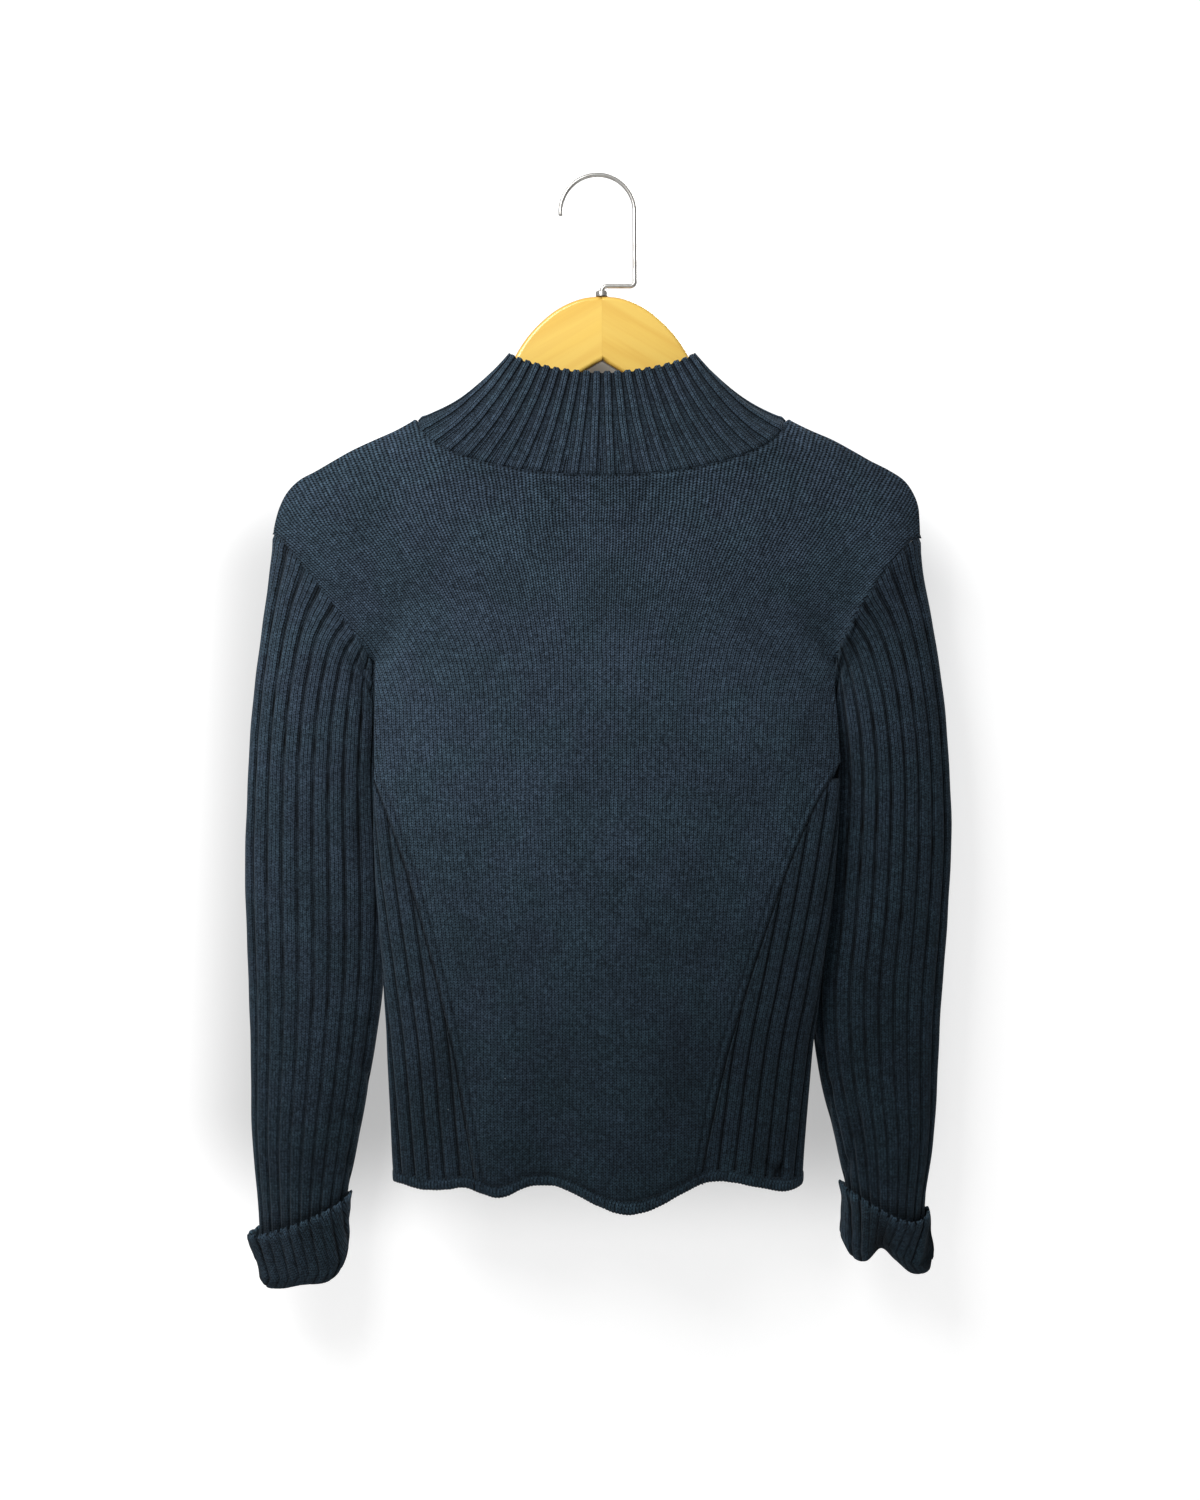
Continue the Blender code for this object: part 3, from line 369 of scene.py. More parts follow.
def unit(vectors):
    return vectors / np.linalg.norm(vectors, axis=-1, keepdims=True)


def facing(vectors, outward):
    """Vectors turned round where they point away from outward."""
    return vectors * np.sign(np.sum(vectors * outward, axis=-1, keepdims=True))


def smooth_step(t):
    return t * t * (3 - 2 * t)


def bell(distance, width, power=2):
    """1 at distance 0, falling away softly to both sides."""
    return np.exp(-((distance / width) ** power))


BODY = columns_of(BODY_COLUMNS, BODY_ROWS)
SEAM = columns_of(SEAM_COLUMNS, SEAM_ROWS)
SLEEVE = {side: columns_of(SLEEVE_COLUMNS, rows) for side, rows in SLEEVE_ROWS.items()}
SIDE_NAME = {LEFT: "left", RIGHT: "right"}
FACE_NAME = {BACK: "back", FRONT: "front"}


# ---- body ----


def body(column, down):
    return follow(np.maximum(down, UNDERARM), BODY["down"], BODY[column])


def folds(x, down, face):
    """How far the folds let the cloth drop and push it out, at this place."""
    drop = np.zeros_like(x)
    bulge = np.zeros_like(x)
    for row in FOLD_ROWS:
        fold = dict(zip(FOLD_COLUMNS, row))
        if fold["face"] == face:
            across = np.clip((x - fold["x"]) / fold["half_width"], -1, 1)
            grown = np.clip((down - fold["start"]) / (HEM - fold["start"]), 0, 1.1)
            share = np.cos(across * QUARTER) ** 2 * grown**1.5
            drop = drop + fold["drop"] * share
            bulge = bulge + fold["bulge"] * share
    return drop, bulge


def body_point(angle, down, side, face):
    """A point of the body's outside: angle 0 at its side edge, a quarter turn at its centre line."""
    x = side * body(SIDE_NAME[side], down) * np.cos(angle)
    rise = np.sin(angle)
    drop, bulge = folds(x, down, face)
    y = body("middle", down) + face * (body(FACE_NAME[face], down) + bulge) * rise
    return np.stack([x, y, -(down + drop)], axis=-1)


def angle_at(arc, down, side, face):
    """The angle on the body's section at this distance round the cloth from the side edge."""
    arc, down = np.broadcast_arrays(np.asarray(arc, float), np.asarray(down, float))
    turn = np.linspace(0, QUARTER, 181)
    found = np.empty(arc.shape)
    for i in np.ndindex(arc.shape):
        wide, deep = body(SIDE_NAME[side], down[i]), body(FACE_NAME[face], down[i])
        steps = np.hypot(wide * np.diff(np.cos(turn)), deep * np.diff(np.sin(turn)))
        found[i] = np.interp(arc[i], np.concatenate(([0], np.cumsum(steps))), turn)
    return found


def seam_arc(down, side):
    return np.interp(down, SEAM["down"], SEAM[SIDE_NAME[side]])


# ---- yoke: from the neck seam and shoulder line to the underarm ----


def neck_angle(t):
    """0 at the side of the neck, a quarter turn at its centre line."""
    return QUARTER * (1 - np.clip(t / NECK_SHARE, 0, 1))


def yoke_top(t, side, face):
    turn = neck_angle(t)
    on_neck = t <= NECK_SHARE
    x, down = along((t - NECK_SHARE) / (1 - NECK_SHARE), SHOULDER[side])
    x = np.where(on_neck, NECK_HALF_WIDTH * np.cos(turn), x)
    down = np.where(on_neck, NECK_SIDE_DOWN + NECK_DROP[face] * np.sin(turn), down)
    depth = np.where(on_neck, NECK_DEPTH[face] * np.sin(turn) ** NECK_ROUNDING, 0.0)
    return x, down, depth


def yoke_point(t, q, side, face):
    """A point of the yoke: t from the centre line to the armhole, q from the top to the underarm.

    Below 0, q runs on over the shoulder line to the other face.
    """
    v = smooth_step(np.clip(np.abs(q), 0, 1))
    over = np.where(q < 0, -1.0, 1.0)
    top_x, top_down, top_depth = yoke_top(t, side, face)
    end_x, end_down, _ = yoke_top(np.ones_like(t), side, face)
    mid_down = NECK_SIDE_DOWN + NECK_DROP[face]
    hole = sleeve_point(np.pi * v, np.zeros_like(v), side)
    wide = body(SIDE_NAME[side], np.full_like(t, UNDERARM))
    low_x = wide * np.sin(t * QUARTER)
    x = (1 - v) * top_x + v * low_x + t * (side * hole[..., 0] - (1 - v) * end_x - v * wide)
    centre_down = (1 - v) * mid_down + v * UNDERARM
    down = (
        (1 - v) * top_down + v * UNDERARM + (1 - t) * centre_down - t * hole[..., 2]
        - (1 - v) * ((1 - t) * mid_down + t * end_down) - v * UNDERARM
    )
    settled = 1 - (1 - v) ** FOLD_SHARPNESS
    spread = NECK_SPREAD * settled * (1 - v) * np.sin(np.pi * np.clip(t, 0, 1)) ** 2
    x = x + spread
    down = down + NECK_FALL * spread
    low_depth = body(FACE_NAME[face], np.full_like(t, UNDERARM)) * np.cos(t * QUARTER)
    squared = (1 - settled) * top_depth**2 + settled * low_depth**2 + t**3 * hole[..., 1] ** 2
    y = np.maximum(np.sqrt(squared), SEAM_GAP / 2) * over
    return np.stack([side * x, face * y, -down], axis=-1)


# ---- sleeves ----


def sleeve_point(turn, run, side):
    """A point of a sleeve: turn 0 at its outer edge, a quarter turn at the back, run from the armhole."""
    table = SLEEVE[side]
    ring = {name: follow(run, table["run"], table[name]) for name in SLEEVE_COLUMNS[1:]}
    half_x = (ring["outer_x"] - ring["inner_x"]) / 2
    half_down = (ring["outer_down"] - ring["inner_down"]) / 2
    length = np.hypot(half_x, half_down)
    bow = ring["bow"] * np.abs(np.sin(turn))
    x = (ring["outer_x"] + ring["inner_x"]) / 2 + half_x * np.cos(turn) + bow * half_down / length
    down = (
        (ring["outer_down"] + ring["inner_down"]) / 2
        + half_down * np.cos(turn) - bow * half_x / length
    )
    y = ring["middle"] + ring["depth"] * np.sin(turn)
    return np.stack([side * x, y, -down], axis=-1)


def sleeve_middle(turn, run, side):
    """The middle of the ring that a sleeve's point lies on."""
    return (sleeve_point(turn * 0, run, side) + sleeve_point(turn * 0 + np.pi, run, side)) / 2


SLEEVE_TURNS = np.linspace(0, 2 * np.pi, 361)


def ring_turns(run, side, shares):
    """Angles round the sleeve's ring at these shares of its length."""
    return even_turns(lambda turns: sleeve_point(turns, np.full_like(turns, run), side), SLEEVE_TURNS, shares)


def cuff_size(column, turn, side):
    """A column of the cuff's table, read round the sleeve."""
    table = columns_of(CUFF_COLUMNS, CUFF_ROWS[side])
    stops = np.concatenate([table["angle"] - 360, table["angle"], table["angle"] + 360])
    return follow(np.degrees(turn), stops, np.tile(table[column], 3))


# ---- collar ----


def collar_point(turn, w):
    """A point of the collar: turn 0 on the wearer's left, a quarter at the back, w from seam to top."""
    rise = np.sin(turn)
    behind = rise >= 0

    def by_face(sizes):
        return np.where(behind, sizes[BACK], sizes[FRONT])

    lift = np.abs(rise)
    low_down = NECK_SIDE_DOWN + by_face(NECK_DROP) * lift
    top_down = COLLAR_TOP_SIDE_DOWN + by_face(COLLAR_TOP_DROP) * lift**1.5
    half_width = NECK_HALF_WIDTH + (COLLAR_TOP_HALF_WIDTH - NECK_HALF_WIDTH) * w
    depth = by_face(NECK_DEPTH) + (by_face(COLLAR_TOP_DEPTH) - by_face(NECK_DEPTH)) * w
    sag = COLLAR_SAG * np.sin(np.pi * np.clip(w, 0, 1)) * np.cos(turn) ** 2
    down = low_down + (top_down - low_down) * w + sag
    deep = depth * np.sign(rise) * lift**NECK_ROUNDING
    return np.stack([half_width * np.cos(turn), deep, -down], axis=-1)


# ---- surfaces ----

TINY = 1e-9
# Slow waves over a surface: their height in mm or as a share of the light, their length and seed
UNEVEN = {
    "panel": (0.35, 60, 4),
    "side panel": (0.3, 40, 7),
    "sleeve": (0.35, 45, 11),
    "sleeve's grooves": (0.3, 30, 8),
    "cuff": (0.9, 22, 5),
    "cuff's grooves": (0.3, 20, 6),
    "collar": (0.25, 40, 3),
    "hem": (0.35, 14, 9),
}
UNEVEN_WAVES = 7
BODY_BEND = 0.004  # how fast a crease of the body curves away from its line
DEGREE = 0.6  # millimetres of a sleeve's cloth to a degree round it
SEAM_DEPTH, SEAM_WIDTH = 1.1, 1.7  # how deep the cloth is drawn in beside a seam, and how far from it
WELT_HEIGHT, WELT_AWAY, WELT_WIDTH = 0.45, 4.0, 1.8  # the soft welt that stands up beyond that


def grid_normals(points, outward):
    """Unit normals of a grid of points, on the side that outward points to on the whole."""
    normal = np.cross(np.gradient(points, axis=1), np.gradient(points, axis=0))
    normal = normal / np.maximum(np.linalg.norm(normal, axis=-1, keepdims=True), TINY)
    return normal * np.sign(np.sum(normal * outward))


def relax(values, times):
    """Values on a grid, evened out inside its edges."""
    for _ in range(times):
        beside = values[1:-1, :-2] + values[1:-1, 2:] + values[:-2, 1:-1] + values[2:, 1:-1]
        values[1:-1, 1:-1] += 0.5 * (beside / 4 - values[1:-1, 1:-1])
    return values


def unevenness(points, kind):
    """A slow rise and fall over a surface, made of waves that run in all directions."""
    height, size, seed = UNEVEN[kind]
    random = np.random.default_rng(seed)
    total = np.zeros(points.shape[:-1])
    for _ in range(UNEVEN_WAVES):
        way = unit(random.normal(size=3)) * 2 * np.pi / (size * random.uniform(0.6, 1.6))
        total += np.sin(points @ way + random.uniform(0, 2 * np.pi))
    return height * (total / (UNEVEN_WAVES / 2))


def pressed_in(rows, on, across, down, scale=1.0, bend=0.0):
    """How far the creases on one face or sleeve press in, at these places across and down it."""
    depth = np.zeros(np.broadcast(across, down).shape)
    for row in rows:
        crease = dict(zip(CREASE_COLUMNS, row))
        if crease["on"] == on:
            lean = math.radians(crease["lean"])
            dx, dd = (across - crease["across"]) * scale, down - crease["down"]
            aside = dx * math.cos(lean) - dd * math.sin(lean) + bend * (dd * math.cos(lean)) ** 2
            on_line = dx * math.sin(lean) + dd * math.cos(lean)
            line = bell(aside, crease["half_width"]) * bell(on_line, crease["half_length"], 4)
            depth += crease["depth"] * line
    return depth


def body_creases(points, face):
    return pressed_in(CREASE_ROWS, face, points[..., 0], -points[..., 2], bend=BODY_BEND)


def seam_dip(distance):
    """The cloth beside a seam, drawn in toward its thread."""
    return -SEAM_DEPTH * bell(distance, SEAM_WIDTH) + WELT_HEIGHT * bell(distance - WELT_AWAY, WELT_WIDTH)


def seam_shade(distance, loss):
    """The light left beside a seam that takes this share away: 1 away from it."""
    return 1 - loss * bell(distance, SEAM_WIDTH)


# ---- meshes ----

CLOTH_EDGE, METAL_EDGE = 80, 40  # degrees above which an edge stays sharp


def add_mesh(mesh, made_of, sharp_angle=None):
    """A mesh with its faces turned outward, as a piece of the part."""
    shape = bmesh.new()
    shape.from_mesh(mesh)
    bmesh.ops.recalc_face_normals(shape, faces=shape.faces)
    shape.to_mesh(mesh)
    shape.free()
    mesh.shade_smooth()
    if sharp_angle:
        mesh.set_sharp_from_angle(angle=math.radians(sharp_angle))
    made = add_object(mesh, made_of)
    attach(made, "root")
    return made


def add_object(mesh, made_of):
    mesh.materials.append(made_of)
    made = bpy.data.objects.new(mesh.name, mesh)
    bpy.context.scene.collection.objects.link(made)
    return made


def end_faces(ids):
    """Faces that close the first and last columns of an open piece, from its outside to its inside."""
    count = len(ids)
    half = count // 2
    faces = []
    for line in (ids[:, 0], ids[:, -1]):
        for i in range(half - 1):
            faces.append([line[i], line[i + 1], line[count - 2 - i], line[count - 1 - i]])
        if count % 2:
            faces.append([line[half - 1], line[half], line[count - half]])
    return faces


def add_cloth(name, rows, stitches, shade, made_of, slot="navy_rib_knit", ring=False):
    """A closed piece of cloth from rows of points, the last of which joins the first.

    stitches holds the knit pattern's place at each point, and shade is 1 where the yarn is in full
    light and 0 deep in a groove. A ring's stitches have one column more, for its closing faces.
    """
    count, columns = rows.shape[:2]
    ids = np.arange(count * columns).reshape(count, columns)
    spans = np.arange(columns if ring else columns - 1)
    row, column = np.meshgrid(np.arange(count), spans, indexing="ij")
    below, beside = (row + 1) % count, column + 1
    corners = ((row, column), (row, beside), (below, beside), (below, column))
    faces = np.stack([ids[r, c % columns] for r, c in corners], axis=-1).reshape(-1, 4).tolist()
    places = np.stack([stitches[r, c] for r, c in corners], axis=-2).reshape(-1, 2)
    if not ring:
        ends = end_faces(ids)
        faces += ends
        places = np.concatenate([places, np.zeros((sum(len(face) for face in ends), 2))])
    mesh = bpy.data.meshes.new(name)
    mesh.from_pydata((rows.reshape(-1, 3) * MM).tolist(), [], faces)
    mesh.uv_layers.new(name="Stitches").data.foreach_set("uv", places.ravel())
    mesh.attributes.new("Shade", "FLOAT", "POINT").data.foreach_set("value", shade.ravel())
    return add_mesh(mesh, made_of, CLOTH_EDGE)


def two_sided(outer, inner, stitches, shade):
    """The rows of an open piece, outside and inside, with its stitches and shade.

    Where the outside has more rows than the inside, they are a rim that repeats the last values.
    """
    rim = len(outer) - len(inner)
    looped = [
        np.concatenate([values, np.repeat(values[-1:], rim, axis=0), values[::-1]])
        for values in (stitches, shade)
    ]
    return np.concatenate([outer, inner[::-1]]), *looped


# ---- back and fronts ----

HALF_COLUMNS = 84
YOKE_COUNT, LOWER_COUNT = 70, 90
EVENED_OUT = 14  # rounds of smoothing of a panel's depth
SOFT_SEAM = 0.3  # the light lost in the armhole and neck seams
SIDE_SEAM = 0.75  # and in the seams of the side panels
FASHIONED = 7.0  # from the side seam in to a line of fashioned stitches that runs beside it
FASHIONED_TOP, FASHIONED_START = 440.0, 25.0  # how far down it starts, and how soon it is full
# the fashioned line's width and depth, and the share of light it loses as painted shade
FASHIONED_WIDTH, FASHIONED_DEPTH, FASHIONED_LOSS = 1.1, 0.8, 0.45
BAND_OVERLAP = 3.5  # how far the panels run down behind the hem band
PANEL_FOOT = HEM - BAND_HEIGHT + BAND_OVERLAP
BAND_SHADOW, BAND_SHADOW_WIDTH = 0.4, 4.0  # the light lost just above the band
TOP_SETTLE = 12.0  # from a panel's top edge, where other relief has taken over from the seam's
PANEL_CREASE, SIDE_CREASE, SLEEVE_CREASE = 0.10, 0.22, 0.12  # light lost for each mm of a crease
FAN_WIDTH = 171.0  # the half-width over which the columns' slope grows


def fan(x, down):
    """Stitch columns and courses of a plain panel: its columns lean outward above the underarm."""
    rise = np.maximum(FAN_FOOT - down, 0)
    lift = np.where(rise < FAN_BEND, rise**2 / (2 * FAN_BEND), rise - FAN_BEND / 2)
    low, high = np.zeros_like(x), np.abs(x) + 1
    for _ in range(30):
        foot = (low + high) / 2
        slope = FAN_SLOPE * (foot / FAN_WIDTH) ** FAN_POWER
        short = foot + slope * lift < np.abs(x)
        low, high = np.where(short, foot, low), np.where(short, high, foot)
    run = np.where(rise > 0, FAN_FOOT - rise * np.hypot(1, slope * lift / np.maximum(rise, 1)), down)
    pitch = WALE * np.interp(down, WALE_LEVELS, WALE_SHARES)
    return np.sign(x) * foot / pitch, run / COURSE


def half_grid(side, face):
    """Points of half a body panel, from its centre line out."""
    first = 0 if face == BACK else SEAM_GAP / 2 / NECK_HALF_WIDTH * NECK_SHARE
    places = np.linspace(first, 1, HALF_COLUMNS)
    t, q = np.meshgrid(places, np.linspace(0, 1, YOKE_COUNT))
    yoke = yoke_point(t, q, side, face)
    down = np.linspace(UNDERARM, PANEL_FOOT, LOWER_COUNT)[1:]
    edge = angle_at(seam_arc(down, side), down, side, face)
    angle = QUARTER - (QUARTER - edge[:, None]) * places
    lower = body_point(angle, np.broadcast_to(down[:, None], angle.shape), side, face)
    return np.concatenate([yoke, lower])


def add_panel(name, points, face, made_of):
    """A plain panel, with side seams along both edges of the back and the outer edge of a front."""
    points = points.copy()
    points[..., 1] = relax(points[..., 1], EVENED_OUT)
    normal = grid_normals(points, (0, face, 0))
    across, lengthways = gaps_along(points, 1), gaps_along(points, 0)
    from_sides = (across, across[:, -1:] - across)[0 if face == BACK else 1 :]
    relief = seam_dip(lengthways)
    for distance in from_sides:
        relief = relief + seam_dip(distance)
    beside_ribs = smooth_step(np.clip((-points[..., 2] - FASHIONED_TOP) / FASHIONED_START, 0, 1))
    above_band = lengthways[-1:] - lengthways - BAND_OVERLAP
    shade = seam_shade(lengthways, SOFT_SEAM) * (1 - BAND_SHADOW * bell(above_band, BAND_SHADOW_WIDTH))
    for distance in from_sides:
        fashioned = bell(distance - FASHIONED, FASHIONED_WIDTH) * beside_ribs
        relief = relief - FASHIONED_DEPTH * fashioned
        loss = SOFT_SEAM + (SIDE_SEAM - SOFT_SEAM) * beside_ribs
        shade = shade * seam_shade(distance, loss) * (1 - FASHIONED_LOSS * fashioned)
    pressed = body_creases(points, face)
    relief = relief - pressed + unevenness(points, "panel")
    settled = np.minimum(1, lengthways / TOP_SETTLE)
    outer = points + (relief * settled + seam_dip(lengthways) * (1 - settled))[..., None] * normal
    inner = points - PLAIN_WALL * normal
    shade = shade * (1 - PANEL_CREASE * np.clip(pressed, -1, 2))
    stitches = np.stack(fan(points[..., 0], -points[..., 2]), axis=-1)
    return add_cloth(name, *two_sided(outer, inner, stitches, shade), made_of, "navy_knit")


# ---- ribbed pieces ----

SIDE_STEPS = 17  # columns of points to a rib
SIDE_ROWS, SIDE_SPREAD = 80, 1.15  # rows of points, closer together toward the top
SIDE_LEAN, SIDE_BEND = 0.05, 500.0  # how far the ribs lean back for each millimetre up, and bend
SIDE_GROOVE = 0.92  # half the width of a groove in the side panels
SIDE_CROWN, SLEEVE_CROWN = 0.7, 0.3  # how far a rib's middle stands above its edges
GROOVE_SHADE = 0.93  # how much of its light a groove loses
DEEPEST = 3  # the depth of a crease beyond which the light falls no more
MID_STITCH = 0.5  # puts the middle of a groove on the middle of a stitch column


def rib_height(place, period, groove):
    """A rib's height at this share of its period, 1 on top, with a groove this wide."""
    return 1 - bell(np.minimum(place % 1, 1 - place % 1) * period, groove)


def add_side_panel(side, made_of):
    """The ribbed panel at the side, from its point below the armhole down to the hem band."""
    ribs = SIDE_RIBS[side]
    pitch = seam_arc(HEM, side) / ribs
    places = np.linspace(ribs, -ribs, 2 * ribs * SIDE_STEPS + 1)
    arcs = np.abs(places) * pitch
    first = SEAM["down"][np.flatnonzero(SEAM[SIDE_NAME[side]] > 0)[0] - 1]
    top = np.interp(arcs, SEAM[SIDE_NAME[side]][1:], SEAM["down"][1:])
    top = np.where(arcs < STEP, first, top)
    down = top + (PANEL_FOOT - top) * np.linspace(0, 1, SIDE_ROWS)[:, None] ** SIDE_SPREAD
    points = np.empty((*down.shape, 3))
    pressed = np.empty(down.shape)
    for face, part in ((BACK, places >= 0), (FRONT, places < 0)):
        angle = angle_at(np.broadcast_to(arcs[part], down[:, part].shape), down[:, part], side, face)
        points[:, part] = body_point(angle, down[:, part], side, face)
        pressed[:, part] = body_creases(points[:, part], face)
    normal = grid_normals(points, (side, 0, 0))
    above_hem = HEM - down
    ribbed = places + SIDE_LEAN * above_hem * (1 + above_hem / SIDE_BEND) / pitch
    height = rib_height(ribbed, pitch, SIDE_GROOVE)
    crown = SIDE_CROWN * np.sin(np.pi * (ribbed % 1))
    from_seam = gaps_along(points, 0)
    relief = -SIDE_RIB * (1 - height) + crown + seam_dip(from_seam)
    relief = relief + unevenness(points, "side panel") - pressed
    outer = points + relief[..., None] * normal
    inner = points - RIBBED_WALL * normal
    stitches = np.stack([ribbed * RIB_WALES + MID_STITCH, down / COURSE], axis=-1)
    shade = (1 - GROOVE_SHADE * (1 - height)) * seam_shade(from_seam, SIDE_SEAM)
    shade = shade * (1 - SIDE_CREASE * np.clip(pressed, 0, DEEPEST))
    rows = two_sided(outer, inner, stitches, shade)
    return add_cloth(f"side_rib_panel_{SIDE_NAME[side]}", *rows, made_of)


# Shares of a rib's width at which a sleeve has points
RIB_STOPS = np.array([0.0, 0.06, 0.13, 0.22, 0.36, 0.5, 0.64, 0.78, 0.87, 0.94])
SLEEVE_PERIOD, SLEEVE_GROOVE = 10.5, 1.05  # the width of a rib, and half that of a groove
CUFF_PERIOD, CUFF_GROOVE, RIM_GROOVE = 9.0, 1.1, 1.4
CUFF_RIB = 0.8 * SLEEVE_RIB
SLEEVE_DARK, CUFF_DARK = 0.85, 0.9  # how much painted shade the grooves take on the whole
RIB_FAN = 0.09  # how far round the sleeve its ribs start toward the underarm at the seam
RIB_FAN_RUN, RIB_FAN_POWER = 32.0, 1.3
RIB_START, RIB_START_RUN = 0.35, 14  # a groove's share of its depth at the armhole, and how soon it grows
WORN, WORN_FROM, WORN_RUN = 0.3, 150, 280  # how far the ribs flatten, from where and over what run
RIM_SHADOW, RIM_SHADOW_WIDTH = 0.7, 8  # the light lost above the cuff's rim
SLEEVE_END = 450.0  # the last whole ring
SLEEVE_RUNS = np.concatenate([np.linspace(0, 60, 22)[:-1], np.linspace(60, SLEEVE_END, 94)])
TO_RIM = (0.3, 0.6, 0.75, 0.88)  # the rings between that one and the cuff's rim
INSIDE_RUNS = (430, 370, 305, 190, 130, 70, 35, 16, 3)
CUFF_GROOVES = np.random.default_rng(12).uniform(0.6, 1.1, SLEEVE_RIBS + 1)  # each groove's strength
INSIDE_TONE = 0.45  # the light left inside a turned-up cuff
INSIDE_OUT = 1.0  # up to this distance out, a row is inside the cuff
GROOVE_OUT = 3  # from this distance out, its grooves take their full painted shade
RIM_WAVE, RIM_WAVE_MIDDLE = 2.4, 0.7  # how far the rim rises over a rib, and what counts as level
RIM_DOUBLE_WAVE = 0.8  # two waves to a rib
RIM_LIGHT, RIM_LIGHT_WIDTH = 0.9, 0.07  # how much painted highlight the rim gets, and over what share of the cuff
PUSH_POWER, PUSH_CREASE = 1.2, 0.28  # the push's growth toward the fold, and the light lost where it dents
# How far round the cuff its ribs lean, from rim to fold: on the whole, and more on its outer side
CUFF_LEAN = {LEFT: (0.06, 0.0), RIGHT: (0.045, 0.045)}
# The cuff's lines: place from its rim (0) to its fold (1), distance out from the sleeve's cloth,
# how much of it is turned up over the sleeve, how far the ribs show, and the rows to the next line
CUFF_LINES = (
    (0.0, 0.0, 0, 1.0, 3),
    (0.85, 0.0, 0, 0.0, 2),
    (0.85, 1.0, 0.5, 0.0, 4),
    (0.03, 1.0, 1, 0.2, 2),
    (-0.02, 1.7, 1, 0.5, 2),
    (-0.03, 2.8, 1, 0.7, 2),
    (0.0, 3.8, 1, 0.9, 2),
    (0.06, 4.1, 1, 1.0, 22),
    (0.8, 3.9, 1, 1.0, 4),
    (0.93, 3.2, 0.5, 1.0, 3),
    (0.99, 1.9, 0.2, 0.8, 3),
    (1.0, 0.2, 0, 0.5, 3),
    (0.96, -1.6, 0, 0.3, 3),
    (0.85, -2.7, 0, 0.2, 2),
    (0.6, -3.0, 0, 0.0, 1),
)


def cuff_lines():
    """The cuff's rows, filled in between the lines of its table."""
    table = np.array(CUFF_LINES, float)
    stops = np.concatenate(([0], np.cumsum(table[:-1, 4])))
    at = np.arange(stops[-1] + 1)
    return np.stack([np.interp(at, stops, table[:, k]) for k in range(4)], axis=-1)


def sleeve_way(turn, run, side, level):
    """Unit vectors out of a sleeve's cloth, or level ones for its cuff."""
    beside = sleeve_point(turn + STEP, run, side) - sleeve_point(turn - STEP, run, side)
    ahead = (0, 0, 1) if level else sleeve_point(turn, run + 1, side) - sleeve_point(turn, run - 1, side)
    outward = sleeve_point(turn, run, side) - sleeve_middle(turn, run, side)
    return facing(unit(np.cross(beside, ahead)), outward)


